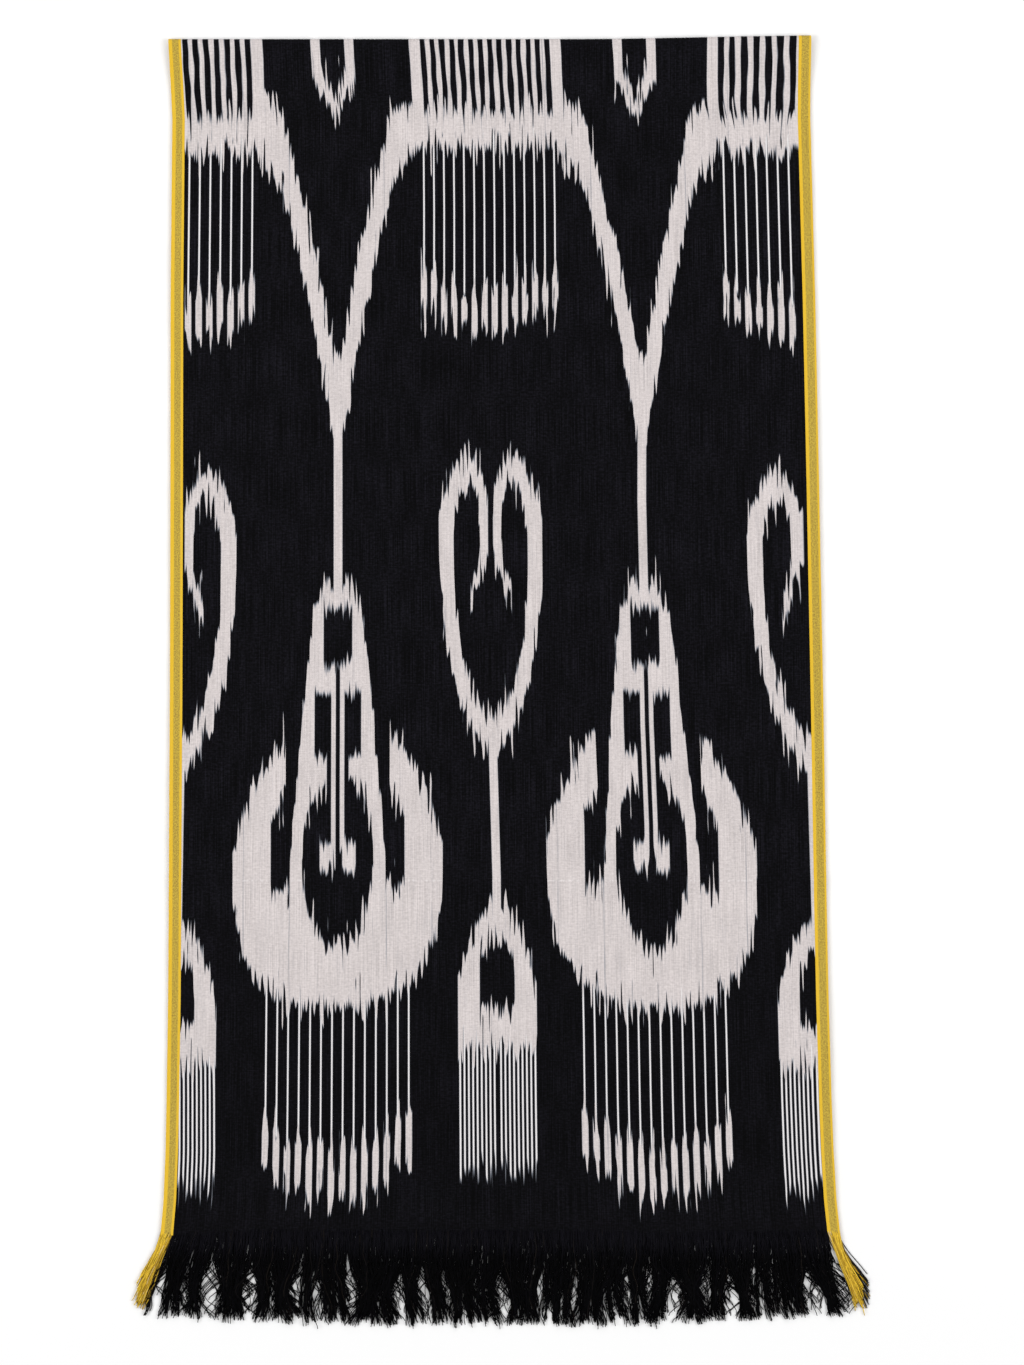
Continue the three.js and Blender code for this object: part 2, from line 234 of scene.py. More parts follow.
# Smooth noises in the silk: their lengths across and along in mm, what range of them counts, the most
# that they do, and how much each of the weave's tells in its tone
WEAVE = {
    "streak": {"across": 0.5, "along": 42, "tells": 0.95},
    "rib": {"across": 5, "along": 0.8, "tells": 0.55},
    "mottle": {"across": 1.6, "along": 1.6, "detail": 1.0, "tells": 0.85},
    "cloud": {"across": 14, "along": 22, "tells": 0.3},
}
WOBBLE = {"across": 2.6, "along": 21}
MARKS = {"along": 30, "place": 0, "range": (-0.2, 0.15), "most": 0.8}
STAINS = {"along": 26, "place": 40.5, "range": (0.1, 0.42), "most": 0.24}
SPECKLE = {"across": 0.9, "along": 1.1, "detail": 1.0, "range": (-0.18, 0.2)}
GOLD_STREAK = {"across": 0.6, "along": 30, "detail": 1.0, "range": (-0.25, 0.3)}
SLANT = {"slope": 1.3, "waver": 1.6, "pitch": 1.7, "range": (-0.5, 0.7)}
# Painted highlight along the crease's ridge: half width and blur in mm, the range of the mottle that counts,
# and how much
CREASE_HIGHLIGHT = {"half_width": 0.5, "blur": 0.6, "range": (-0.1, 0.3), "most": 0.4}
DEEPENING = {"range": (560, 700), "most": 0.28}  # the black is deepest towards the hem

# Two shades of each colour, as shares of it
PALE_SHADES = (0.82, 1.16)
BLACK_SHADES = (0.2, 3.2)
HEM_SHADES = (0.5, 2.6)
# The fringe's few brightest threads are partly a painted highlight on the wavy strands and partly the
# threads' own differing tone
FRINGE_SHADES_AND_HIGHLIGHTS = (0.5, 2.8)
FLOOR_SHADES = (0.995, 1.0)
# Ranges over which an edge of the pattern goes from black to the bleed, and from there to pale
BLEED_RANGE = (0, 0.6)
LIGHT_RANGE = (0.4, 1)
# How much of its second colour each silk takes on, and which threads are rusty, cream or brown
OLIVE_MIX = {"slant": 0.4, "speckle": 0.7}
GOLD_MIX = 0.3
GOLD_LIGHT_MIX = 0.16
RUST = {"range": (0.97, 0.99), "most": 0.8}
CREAM = {"from": 1.3, "inwards": 0.62, "blur": 0.08}
BROWN_BLUR = 0.02
# Roughness, how far it varies, gloss, and strength and depth in mm of the bumps
GLOSS = {
    "cloth": {"roughness": 0.62, "uneven": 0.12, "gloss": 0.045, "bump": 0.35, "depth": 0.12},
    "selvedge": {"roughness": 0.55, "uneven": 0.1, "gloss": 0.2, "bump": 0.4, "depth": 0.15},
    "fringe": {"roughness": 0.5, "uneven": 0.15, "gloss": 0.035},
    "tail": {"roughness": 0.5, "uneven": 0.15, "gloss": 0.1},
}
STREAK_HEIGHT = 0.6  # as a share of the ribs'
FLOOR_ROUGHNESS = 0.9
# Colours that a user leaves alone
# The palest silk, which the fine lines take and which paints the highlight along the crease
GLOW = (0.84, 0.82, 0.82)
OLIVE_SHADE = (0.27, 0.17, 0.028)
GOLD_SHADE = (0.60, 0.36, 0.02)
GOLD_LIGHT = (0.84, 0.62, 0.09)
RUSTY = (0.014, 0.011, 0.009)
TAIL_DEEP = (0.36, 0.21, 0.015)
TAIL_BRIGHT = (0.95, 0.66, 0.06)
TAIL_CREAM = (0.72, 0.62, 0.42)
TAIL_BROWN = (0.012, 0.010, 0.008)

# Faces along and across the cloth, and between them, in mm
ROW_STEP = 4.4
LOWER_ROW_STEP = 4 * ROW_STEP
CREASE_STEP = 0.7
CREASE_ZONE = 3.5
SETTLE_STEP = 3.0
BEND_STEPS = 14
CLOTH_COLUMNS = {"upper": 104, "lower": 26}
SELVEDGE_COLUMNS = 10
# Cords that stand up in the selvedge: place and half width as shares of it from its outer edge, and mm
SELVEDGE_CORDS = ({"place": 0.08, "half": 0.12, "lift": 0.10}, {"place": 0.95, "half": 0.06, "lift": 0.06})

# Angles past which an edge stays sharp, in degrees
SHARP_EDGE = 50
NO_SHARP_EDGE = 180

# The thread tree: its inputs, and its habits as shares of a thread's length unless said otherwise
THREAD_TREE = "hem_threads"
THREAD_INPUTS = {
    "NodeSocketInt": ("Threads", "Seed", "Clump Seed"),
    "NodeSocketFloat": (
        "Left", "Right", "Hem", "Root Spread", "Root Height", "Root Lift", "Rest Height", "Layer Depth",
        "Length", "Side Length", "Uneven", "Clumps", "Gather", "Gather Range", "Gather Start", "Loosening",
        "Narrowing", "Lean Left", "Lean Right", "Lean Reach", "Wander", "Sway", "Curl", "Tip Scatter",
        "Strays", "Dark Share", "Thread Radius",
    ),
    "NodeSocketMaterial": ("Silk",),
}
THREAD_STEPS = 14
STEP_CROWDING = 1.3  # power by which the steps crowd towards the tips, which curl most
PINCH = 0.8  # how far along a clump is narrowest
TUFTS = 3.4  # small tufts in each clump
TUFT_GATHER = 0.78
TUFT_START = 0.4
NARROW_END = 0.4
STRAY_REACH = 1.6  # how many clumps away a stray thread may join
WAVERING = ({"times": 37.0, "share": 0.24}, {"times": 91.0, "share": 0.18})  # of the clumps' borders
ALL_TURNS = 6.28
WAVE_TURNS = (1.2, 3.4)
CURL_TURNS = (1.0, 2.2)
SWAY_TURNS = 0.8
WAVE_FROM = 0.3  # the waves have their whole height from here on
WAVE_HEIGHT = 0.35  # of the layers' depth, by which a wave stands up
LEAN_POWER = 1.15
LONGEST = 1.03
SHORTER_BY = 0.34  # at most
FALL = (0.07, 0.3)  # a thread stands up until the first, and lies flat from the second on

# What each half's threads do, what the fringes do and what the tails do; metres and shares
LAYERS = {
    "upper": {"Root Lift": 0.8 * MM, "Rest Height": 1.1 * MM, "Layer Depth": 1.2 * MM},
    "lower": {"Root Lift": 0.0, "Rest Height": 0.3 * MM, "Layer Depth": 0.8 * MM},
}
FRINGE_SHARE = {"upper": 1.0, "lower": 0.85}  # of the upper fringe's threads
FRINGE_FORM = {
    "Root Spread": 4.0 * MM, "Uneven": 0.06, "Clumps": 26.0, "Gather": 0.48, "Gather Range": 0.65,
    "Gather Start": 0.36, "Loosening": 0.65, "Narrowing": 0.0, "Lean Left": -18.0 * MM,
    "Lean Right": 14.5 * MM, "Lean Reach": 0.5, "Wander": 1.2 * MM, "Sway": 3.0 * MM, "Curl": 2.8 * MM,
    "Tip Scatter": 2.4 * MM, "Strays": 0.2, "Dark Share": 0.0, "Clump Seed": 5,
}
TAIL_FORM = {
    "Root Spread": 3.0 * MM, "Uneven": 0.1, "Clumps": 3.0, "Gather": 0.6, "Gather Range": 0.25,
    "Gather Start": 0.0, "Loosening": 0.45, "Narrowing": 0.42, "Lean Reach": 40.0, "Wander": 0.3 * MM,
    "Sway": 1.1 * MM, "Curl": 0.5 * MM, "Tip Scatter": 1.3 * MM, "Strays": 0.03, "Clump Seed": 8,
}
TAIL_LEANS = {"upper": {"left": -20.5, "right": 17.5}, "lower": {"left": -19.0, "right": 23.0}}  # mm
TAIL_DARK_SHARE = {"upper": 0.05, "lower": 0.8}
TAIL_SEEDS = {"left": 3, "right": 7}
ROOT_ABOVE_HEM = 1.0  # mm
ROOT_ABOVE_CLOTH = 0.2
TAIL_MARGIN = 0.2

FLOOR_SIZE = 24.0
FLOOR_HEIGHT = -0.0001
LENS = 85
SENSOR = 36
# The photograph's frame on the surface, in mm: its height, and its middle from the outline's
VIEW_HEIGHT = 963.0
VIEW_ACROSS = 9.17
VIEW_DOWN = 453.3
LIGHTS = (
    {"name": "softbox_left", "place": (-1.9, -0.2, 2.2), "size": 2.0, "power": 42},
    {"name": "softbox_right", "place": (1.9, -0.3, 2.2), "size": 2.0, "power": 40},
    {"name": "softbox_far", "place": (0.0, 2.1, 1.9), "size": 1.8, "power": 22},
)
WORLD_LIGHT = 0.33


def length(name, description, default, least, most):
    """A length that a user may change."""
    return bpy.props.FloatProperty(
        name=name, description=description, default=default, min=least, max=most, precision=5, unit="LENGTH",
    )


def dye(name, description, default):
    """A colour that a user may change."""
    return bpy.props.FloatVectorProperty(
        name=name, description=description, default=default, min=0, max=1, subtype="COLOR",
    )


def count(name, description, default, least, most):
    """A number of threads that a user may change."""
    return bpy.props.IntProperty(name=name, description=description, default=default, min=least, max=most)


class ScarfSizes(bpy.types.PropertyGroup):
    """Sizes of the scarf that a user would change."""

    cloth_thickness: length("Cloth thickness", "Thickness of the woven silk", 0.0005, 0.0002, 0.002)
    selvedge_thickness: length(
        "Selvedge thickness", "Thickness of the yellow edges", 0.00065, 0.0002, 0.002
    )
    lower_height: length("Lower half", "Height of the middle of the lower cloth", 0.00045, 0.0003, 0.002)
    upper_height: length(
        "Upper half", "Height of the middle of the upper cloth where it has settled", 0.0015, 0.0008, 0.004
    )
    bend_radius: length("Bend radius", "Radius of the fold, to the cloth's middle", 0.00255, 0.001, 0.004)
    settle_length: length(
        "Settle length", "Stretch below the fold in which the upper cloth comes down", 0.036, 0.01, 0.1
    )
    fringe_length: length("Fringe length", "Length of the fringe in the middle", 0.0645, 0.02, 0.07)
    fringe_side_length: length(
        "Fringe length at the sides", "Length of the fringe beside the tails", 0.0575, 0.02, 0.07
    )
    tail_length: length("Tail length", "Length of the yellow tails", 0.052, 0.02, 0.07)
    thread_radius: length("Thread radius", "Radius of one fringe thread", 0.00036, 0.0001, 0.0005)
    fringe_threads: count("Fringe threads", "Threads in the upper fringe", 1700, 200, 2150)
    tail_threads: count("Tail threads", "Threads in each tail", 96, 20, 400)


class ScarfColours(bpy.types.PropertyGroup):
    """Colours of the dyed silk."""

    pale: dye("Undyed silk", "The pale warp of the motifs", (0.595, 0.543, 0.535))
    black: dye("Black silk", "The dyed ground", (0.0027, 0.0025, 0.0038))
    bleed: dye("Bleed", "Where the dye has crept into the pale silk", (0.20, 0.215, 0.25))
    # Darker than the cloth's black: painted shade, because the loose threads have less sheen and shade each
    # other
    fringe: dye("Fringe", "The black threads of the fringe", (0.0012, 0.0011, 0.0016))
    gold: dye("Gold", "The bright stripes of the selvedge", (0.74, 0.46, 0.018))
    olive: dye("Olive", "The middle of the selvedge", (0.56, 0.405, 0.046))
    floor: dye("Floor", "The plain pale floor", (0.90, 0.90, 0.90))


class Wire:
    """A socket that Python expressions can be written with: each operator adds its Math node."""

    def __init__(self, board, socket):
        self.board = board
        self.socket = socket

    def __add__(self, other):
        return self.board.math("ADD", self, other)

    __radd__ = __add__

    def __sub__(self, other):
        return self.board.math("SUBTRACT", self, other)

    def __rsub__(self, other):
        return self.board.math("SUBTRACT", other, self)

    def __mul__(self, other):
        return self.board.math("MULTIPLY", self, other)

    __rmul__ = __mul__

    def __truediv__(self, other):
        return self.board.math("DIVIDE", self, other)

    def __pow__(self, other):
        return self.board.math("POWER", self, other)

    def __mod__(self, other):
        return self.board.math("FLOORED_MODULO", self, other)

    def __abs__(self):
        return self.board.math("ABSOLUTE", self)

    def floor(self):
        return self.board.math("FLOOR", self)

    def sine(self):
        return self.board.math("SINE", self)

    def least(self, other):
        return self.board.math("MINIMUM", self, other)

    def most(self, other):
        return self.board.math("MAXIMUM", self, other)

    def eased(self):
        """From 0 to 1 as the value does, but starting and ending gently."""
        return self * self * (3 - 2 * self)

    def rise(self, blur):
        """0 to 1 over `blur`, centred where the value passes 0."""
        return self.board.math("MULTIPLY_ADD", self, 1 / blur, 0.5, clamp=True)

    def share(self, start, end):
        """0 to 1 as the value goes from `start` to `end`."""
        step = 1 / (end - start)
        return self.board.math("MULTIPLY_ADD", self, step, -start * step, clamp=True)


class Board:
    """A node tree, and the one method that adds any node to it."""

    def __init__(self, tree):
        self.tree = tree

    def node(self, kind, settings=(), inputs=()):
        """Adds a node: its settings first, then the values or links of its sockets, by name or place."""
        made = self.tree.nodes.new(kind)
        for name, value in dict(settings).items():
            setattr(made, name, value)
        for name, value in dict(inputs).items():
            socket = made.inputs[name]
            if isinstance(value, Wire):
                self.tree.links.new(value.socket, socket)
            else:
                socket.default_value = value
        return made

    def out(self, made, name=0):
        return Wire(self, made.outputs[name])

    def field(self, kind, settings=(), inputs=(), name=0):
        """The output of a new node."""
        return self.out(self.node(kind, settings, inputs), name)

    def across_and_along(self, place):
        """The first two parts of a vector."""
        split = self.node("ShaderNodeSeparateXYZ", (), {0: place})
        return self.out(split, "X"), self.out(split, "Y")

    def math(self, operation, *values, clamp=False):
        settings = {"operation": operation, "use_clamp": clamp}
        return self.field("ShaderNodeMath", settings, dict(enumerate(values)))

    def mix(self, share, first, second):
        """A colour between two others."""
        inputs = {0: share, 6: first, 7: second}
        return self.field("ShaderNodeMix", {"data_type": "RGBA"}, inputs, 2)

    def noise(self, across, along, detail=0.0):
        """Smooth noise from about -0.5 to 0.5."""
        place = self.field("ShaderNodeCombineXYZ", (), {0: across, 1: along})
        inputs = {"Vector": place, "Scale": 1.0, "Detail": detail}
        return self.field("ShaderNodeTexNoise", {"noise_dimensions": "2D"}, inputs, "Fac") - 0.5


def colour(value, share=1.0):
    """A colour, or a darker or lighter shade of it, as a socket takes it."""
    return (*(part * share for part in value), 1.0)


def shades(value, shares):
    return [colour(value, share) for share in shares]


def grain(across, down, form):
    """Smooth noise in the silk, from about -0.5 to 0.5, or from 0 to 1 over the form's range."""
    board = across.board
    noise = board.noise(across / form["across"], down / form["along"], form.get("detail", 0.0))
    return noise.share(*form["range"]) if "range" in form else noise


def along_threads(thread, down, form):
    """A share that differs from thread to thread and changes slowly along each."""
    noise = thread.board.noise(thread, down / form["along"] + form["place"])
    return noise.share(*form["range"]) * form["most"]


def new_material(name):
    material = bpy.data.materials.new(name)
    material.use_nodes = True
    material.node_tree.nodes.clear()
    return material, Board(material.node_tree)


def add_shader(board, finish, roughness, gloss, normal=None):
    """Adds the shader and the output."""
    inputs = {"Base Color": finish, "Roughness": roughness, "Specular IOR Level": gloss}
    if normal is not None:
        inputs["Normal"] = normal
    shader = board.field("ShaderNodeBsdfPrincipled", (), inputs)
    board.node("ShaderNodeOutputMaterial", (), {"Surface": shader})


def add_silk_shader(board, finish, uneven, form, height=None):
    """The same for silk whose roughness changes with `uneven`, and whose threads stand up by `height`."""
    normal = None
    if height is not None:
        inputs = {"Strength": form["bump"], "Distance": form["depth"] * MM, "Height": height}
        normal = board.field("ShaderNodeBump", (), inputs)
    add_shader(board, finish, uneven * form["uneven"] + form["roughness"], form["gloss"], normal)


def place_on(board, uv_map):
    """A point's place across and along the cloth, in mm, from one of its maps."""
    across, down = board.across_and_along(board.field("ShaderNodeUVMap", {"uv_map": uv_map}))
    return across / MM, down / MM


def span(down, top, bottom, blur=TIP_BLUR):
    """1 between `top` and `bottom`, with soft tips."""
    return (down - top).rise(blur) * (bottom - down).rise(blur)


def above(down, bottom):
    """1 above `bottom`, with a soft tip."""
    return (bottom - down).rise(TIP_BLUR)


def inside(across, limit):
    """1 nearer to the axis than `limit`, with a crisp edge."""
    return (limit - across).rise(EDGE_BLUR)


def between(across, inner, outer):
    """1 between two distances from the axis, with crisp edges."""
    return inside(across, outer) * (across - inner).rise(EDGE_BLUR)


def arch(across, half_width, power, down_power=None):
    """The height of a rounded arch, 1 on its axis and 0 at its foot, with one power for each way."""
    share = across.board.math("DIVIDE", across, half_width, clamp=True)
    return (1 - share**power) ** (1 / (down_power or power))


def from_line(across, pitch, first):
    """How far the nearest line is, of lines `pitch` apart whose first one is `first` from the axis."""
    return abs((across + (pitch / 2 - first)) % pitch - pitch / 2)


def feathered(down, place, from_axis, thread_shift, seed):
    """`down` as the warp there was dyed: too high or low by bundles, by slivers and by threads."""
    board = down.board
    bundles = board.noise(from_axis / BUNDLES["across"] + seed, down / BUNDLES["along"]) * BUNDLES["height"]
    slivers = board.noise(place / SLIVERS["across"] + seed, down / SLIVERS["along"])
    slivers = slivers * (abs(slivers) * SLIVERS["peak"] + SLIVERS["least"]) * SLIVERS["height"]
    return down + bundles + slivers + thread_shift


def toothed_lines(down, feather, across, side, chart):
    """The ragged teeth, and the fine lines that hang from a motif and swell into them."""
    board = down.board
    pitch = chart["pitch"]
    aside = from_line(across, pitch, pitch / 2)
    within = inside(across, chart["half_width"])
    sag = 1 - (across / chart["half_width"]) ** 2
    tooth = (across / pitch).floor() * TOOTH_STEP + side * SIDE_STEP
    ragged = board.noise(tooth + TOOTH_PLACE[0], TOOTH_PLACE[1]) * chart["ragged"]
    top = sag * chart["top_sag"] + ragged + chart["tooth_top"]
    bottom = sag * chart["bottom_sag"] + ragged + chart["tooth_bottom"]
    line = inside(aside, chart["half_line"]) * span(down, chart["top"], top + chart["taper"])
    taper = (aside / chart["half_tooth"]) ** 2 * chart["taper"]
    body = inside(aside, chart["half_tooth"])
    teeth = body * span(feather, top + taper, bottom - taper * FOOT_TAPER)
    return within * teeth, within * line


def comb_motifs(down, feather, place, across, side):
    c = COMB
    wobble = grain(place, down, WOBBLE) * c["wobble"]
    aside = from_line(across, c["pitch"], 0) + wobble
    comb = inside(aside, c["half_line"]) * inside(across, c["half_width"])
    side_line = inside(abs(across - c["side_line"]) + wobble * c["side_wobble"], c["half_side_line"])
    combs = comb.most(side_line) * above(down, c["bottom"])
    band = span(feather, BAND["top"], BAND["bottom"]) * inside(across, BAND["half_width"])
    teeth, lines = toothed_lines(down, feather, across, side, DRIP)
    return combs.most(band).most(teeth), lines


def heart_motif(feather, across):
    h = HEART
    outwards = across - h["lobe"]
    lobe = arch(outwards.most(0), h["lobe_width"], h["lobe_power"]) * h["lobe_height"]
    cleft = ((0 - outwards).most(0) / h["lobe"]) ** h["cleft_power"] * h["cleft"]
    in_slot = inside(across, h["slot"]) * above(feather, h["slot_bottom"])
    bottom = arch(across, h["half_width"], h["bottom_power"], h["bottom_fall"])
    bottom = bottom * h["bottom_height"] + h["bottom_from"]
    body = span(feather, h["lobe_down"] - lobe + cleft, bottom) * inside(across, h["half_width"])
    inwards = (h["hollow_lobe"] - across) / h["hollow_lobe_in"]
    lobe_place = inwards.most((across - h["hollow_lobe"]) / h["hollow_lobe_out"])
    hollow_top = h["hollow_lobe_down"] - arch(lobe_place, 1, 2) * h["hollow_lobe_height"]
    leg_bottom = (across * h["leg_slope"] + h["leg_bottom"]).least(h["hook_tip"])
    top = mixed(inside(across, h["leg_half"]), hollow_top, leg_bottom)
    hollow_bottom = arch(across, h["hollow_half"], h["hollow_power"], 2) * h["hollow_height"]
    hollow_bottom = hollow_bottom + h["hollow_from"]
    hollow = span(feather, top, hollow_bottom) * inside(across, h["hollow_half"])
    hook_top = (across - h["leg_half"]) * h["hook_slope"] + h["hook_top"]
    hook = span(feather, hook_top, leg_bottom) * between(across, h["leg_half"], h["hook_half"])
    return (body * (1 - hollow)).most(hook) * (1 - in_slot)


def mixed(share, first, second):
    """A number between two others."""
    return first + (second - first) * share


def arch_motif(feather, across):
    a = ARCH
    top = a["down"] - arch(across, a["half_width"], a["power"], a["fall"]) * a["height"]
    body = span(feather, top, a["solid"]) * inside(across, a["half_width"])
    hole_top = a["hole_down"] - arch(across, a["hole_half"], 2) * a["hole_height"]
    hole = span(feather, hole_top, a["hole_bottom"]) * inside(across, a["hole_half"])
    lines = inside(from_line(across, a["pitch"], a["first_line"]), a["half_line"])
    lines = lines * between(across, a["pitch"] / 2, a["lines_half"])
    lines = lines * span(feather, a["line_top"], a["line_bottom"], 2 * TIP_BLUR)
    stem = span(feather, STEM["top"], STEM["bottom"]) * inside(across, STEM["half_width"])
    return (body * (1 - hole)).most(stem), lines


def arm_motifs(feather, across):
    n = NOTCH
    outer = n["down"] + arch(across, n["half_width"], n["power"], 1) * n["height"]
    inner = n["hollow_down"] + arch(across, n["hollow_half"], n["hollow_power"], 1) * n["hollow_height"]
    notch = above(feather, outer) * inside(across, n["half_width"])
    hollow = above(feather, inner) * inside(across, n["hollow_half"])
    a = ARMS
    top = (a["inner_tip"] - across ** a["inner_power"] * a["inner_slope"]).most(a["knob_top"])
    out = (across - a["stem_half"]).most(0)
    bottom = a["outer_tip"] - out ** a["outer_power"] * a["outer_slope"]
    bottom = bottom.most(a["shoulder"] - across * a["shoulder_slope"])
    arms = span(feather, top, bottom) * inside(across, a["half_width"])
    stem = span(feather, a["stem_top"], a["stem_bottom"]) * inside(across, a["stem_half"])
    return (notch * (1 - hollow)).most(arms).most(stem)


def bell_motif(feather, calm, across):
    """The bell with its windows, whose small shapes follow the calmer feathering, and the crescent below."""
    b = BELL
    c = CRESCENT
    crown = ((across - b["crown_from"]) / b["crown_reach"]).most(0).least(b["crown_most"]) ** 2
    spread = (across - b["neck_half"]).most(0) / b["spread"]
    top = (crown * b["crown_drop"] + b["crown"]).most(spread ** b["power"] * b["height"] + b["top"])
    top = mixed(inside(across, b["neck_half"]), top, crown * b["crown_drop"] + b["crown"])
    bottom = c["down"] + arch(across, c["half_width"], c["power"]) * c["height"]
    in_bell = inside(across, b["half_width"])
    arm = arch((across - c["arm_from"]).most(0), c["arm_reach"], c["arm_power"])
    in_gap = inside(across, c["arm_inner"])
    outer_top = mixed(in_gap, c["arm_down"] - arm * c["arm_height"], c["channel_bottom"])
    body = span(feather, mixed(in_bell, outer_top, top), bottom) * inside(across, c["half_width"])
    channel_top = (across - c["arm_inner"]) * c["channel_slope"] + c["channel_top"]
    channel = span(feather, channel_top, c["channel_bottom"]) * inside(across, c["channel_outer"])
    body = body * (1 - channel * (1 - inside(across, c["channel_inner"])))
    window = span(calm, b["window_top"], b["window_bottom"]) * inside(across, b["window_half"])
    pane = between(across, b["pane_inner"], b["pane_outer"]) * span(calm, b["pane_top"], b["pane_bottom"])
    gap = between(across, b["line_outer"], b["gap_outer"]) * span(calm, b["gap_top"], b["gap_bottom"])
    eye_top = b["eye_down"] - arch(across, b["eye_half"], b["eye_power"]) * b["eye_height"]
    eye_bottom = b["eye_down"] + arch(across, b["eye_half"], b["eye_taper"], 2) * b["eye_depth"]
    eye = span(feather, eye_top, eye_bottom) * inside(across, b["eye_half"])
    notch = inside(abs(across - b["notch"]), b["half_notch"]) * above(calm, b["notch_bottom"])
    hollow = window.most(pane).most(gap).most(eye).most(notch)
    foot = between(across, b["foot_inner"], b["foot_outer"]) * span(calm, b["foot_top"], b["foot_bottom"])
    below_window = (calm - b["window_bottom"]).rise(TIP_BLUR)
    line = inside(across, b["line_outer"]) * below_window * above(feather, b["line_bottom"])
    slot = inside(across, b["line_inner"]) * below_window * above(feather, b["eye_down"])
    return (body * (1 - hollow)).most(line).most(foot) * (1 - slot)


def nearest(across, axes):
    """How far the nearest of the axes is."""
    far = abs(across - axes[0])
    for axis in axes[1:]:
        far = far.least(abs(across - axis))
    return far


def comb_chart(board, thread_shift):
    """Combs, drips, hearts and arches: the broad shapes and the fine lines."""
    place, down = place_on(board, "comb_place")
    across = nearest(place, COMB_AXES)
    side = (place / COMB_AXES[1] * 2).floor()
    feather = feathered(down, place, across, thread_shift, COMB_PLACE)
    combs, drips = comb_motifs(down, feather, place, across, side)
    arches, arch_lines = arch_motif(feather, across)
    return combs.most(heart_motif(feather, across)).most(arches), drips.most(arch_lines)


def flask_chart(board, thread_shift):
    """Notches, arms, bells, crescents and rain: the broad shapes, the fine lines and the place in a motif."""
    place, down = place_on(board, "flask_place")
    across = nearest(place, FLASK_AXES)
    side = (place / FLASK_AXES[0]).floor()
    feather = feathered(down, place, across, thread_shift, FLASK_PLACE)
    calm = mixed(CALMER, down, feather)
    teeth, rain = toothed_lines(down, feather, across, side, RAIN)
    broad = arm_motifs(feather, across).most(bell_motif(feather, calm, across)).most(teeth)
    return broad, rain, across, down


def ikat_silk(colours):
    """The middle cloth: black silk whose undyed warp shows as feathered motifs."""
    material, board = new_material("ikat_silk")
    across, down = place_on(board, "cloth_place")
    thread = (across / THREADS["across"]).floor() * THREAD_STEP + THREAD_PLACE
    thread_shift = board.noise(thread, down / THREADS["along"]) * THREADS["height"]
    broad, fine = comb_chart(board, thread_shift)
    flask_broad, rain, from_axis, flask_down = flask_chart(board, thread_shift)
    broad = broad.most(flask_broad)
    fine = fine.most(rain)
    pale = broad.most(fine)
    glow = (1 - broad).most(0) * fine * FINE_GLOW

    marks = [inside(abs(from_axis - mark["across"]), mark["half_line"]) for mark in WARP_MARKS]
    marks = marks[0].most(marks[1]) * along_threads(thread, flask_down, MARKS)
    stains = along_threads(thread, down, STAINS)
    noises = {name: grain(across, down, form) for name, form in WEAVE.items()}
    tone = sum((noises[name] * form["tells"] for name, form in WEAVE.items()), start=0.5).share(0, 1)
    # Painted highlight: a thin pale line along the crease's ridge
    in_crease = (CREASE_HIGHLIGHT["half_width"] - abs(down - CREASE_DOWN)).rise(CREASE_HIGHLIGHT["blur"])
    crease_highlight = in_crease * noises["mottle"].share(*CREASE_HIGHLIGHT["range"]) * CREASE_HIGHLIGHT["most"]
    light = board.mix(tone, *shades(colours.pale, PALE_SHADES))
    light = board.mix(stains.most(marks), light, colour(colours.bleed))
    light = board.mix(crease_highlight.most(glow), light, colour(GLOW))
    deep = 1 - down.share(*DEEPENING["range"]) * DEEPENING["most"]
    dark = board.mix(tone * tone * deep, *shades(colours.black, BLACK_SHADES))
    low = board.mix(pale.share(*BLEED_RANGE), dark, colour(colours.bleed))
    finish = board.mix(pale.share(*LIGHT_RANGE), low, light)
    height = noises["streak"] * STREAK_HEIGHT + noises["rib"]
    add_silk_shader(board, finish, noises["rib"], GLOSS["cloth"], height)
    return material


def selvedge_silk(colours):
    """The yellow edges: an olive middle between brighter stripes, in a slanting weave."""
    material, board = new_material("selvedge_silk")
    across, down = place_on(board, "edge_place")
    outer = inside(across, SELVEDGE_STRIPES[1])
    inner = (across - SELVEDGE_STRIPES[2]).rise(EDGE_BLUR)
    waver = board.noise(across, down / 3) * SLANT["waver"]
    slant = (across * SLANT["slope"] + down + waver) % SLANT["pitch"] - SLANT["pitch"] / 2
    slant = slant.share(*SLANT["range"])
    speckle = grain(across, down, SPECKLE)
    streak = grain(across, down, GOLD_STREAK)
    shaded = slant * OLIVE_MIX["slant"] + speckle * OLIVE_MIX["speckle"]
    olive = board.mix(shaded, colour(colours.olive), colour(OLIVE_SHADE))
    gold = board.mix(speckle * GOLD_MIX, colour(colours.gold), colour(GOLD_SHADE))
    plain = board.mix(outer.most(inner), olive, gold)
    finish = board.mix(streak * GOLD_LIGHT_MIX, plain, colour(GOLD_LIGHT))
    add_silk_shader(board, finish, speckle, GLOSS["selvedge"], slant + speckle)
    return material


def thread_value(board, name):
    return board.field("ShaderNodeAttribute", {"attribute_name": name}, name="Fac")


def fringe_silk(colours):
    """The black threads of the fringe, a few of them rusty brown where the dye is thin."""
    material, board = new_material("fringe_silk")
    tone = thread_value(board, "thread_tone")
    _, along = place_in_metres(board)
    # Painted light and shade: by the hem the threads get a lighter copy of the cloth's black so that they
    # look like the cloth, and below it the fringe's darker black, whose few brightest threads are partly
    # painted highlights
    near_hem = along.share(fold_y - FRINGE_FROM["end"] * MM, fold_y - FRINGE_FROM["start"] * MM)
    dark = board.mix(tone**3, *shades(colours.fringe, FRINGE_SHADES_AND_HIGHLIGHTS))
    dark = board.mix(near_hem, dark, board.mix(tone, *shades(colours.black, HEM_SHADES)))
    finish = board.mix(tone.share(*RUST["range"]) * RUST["most"], dark, colour(RUSTY))
    add_silk_shader(board, finish, tone, GLOSS["fringe"])
    return material


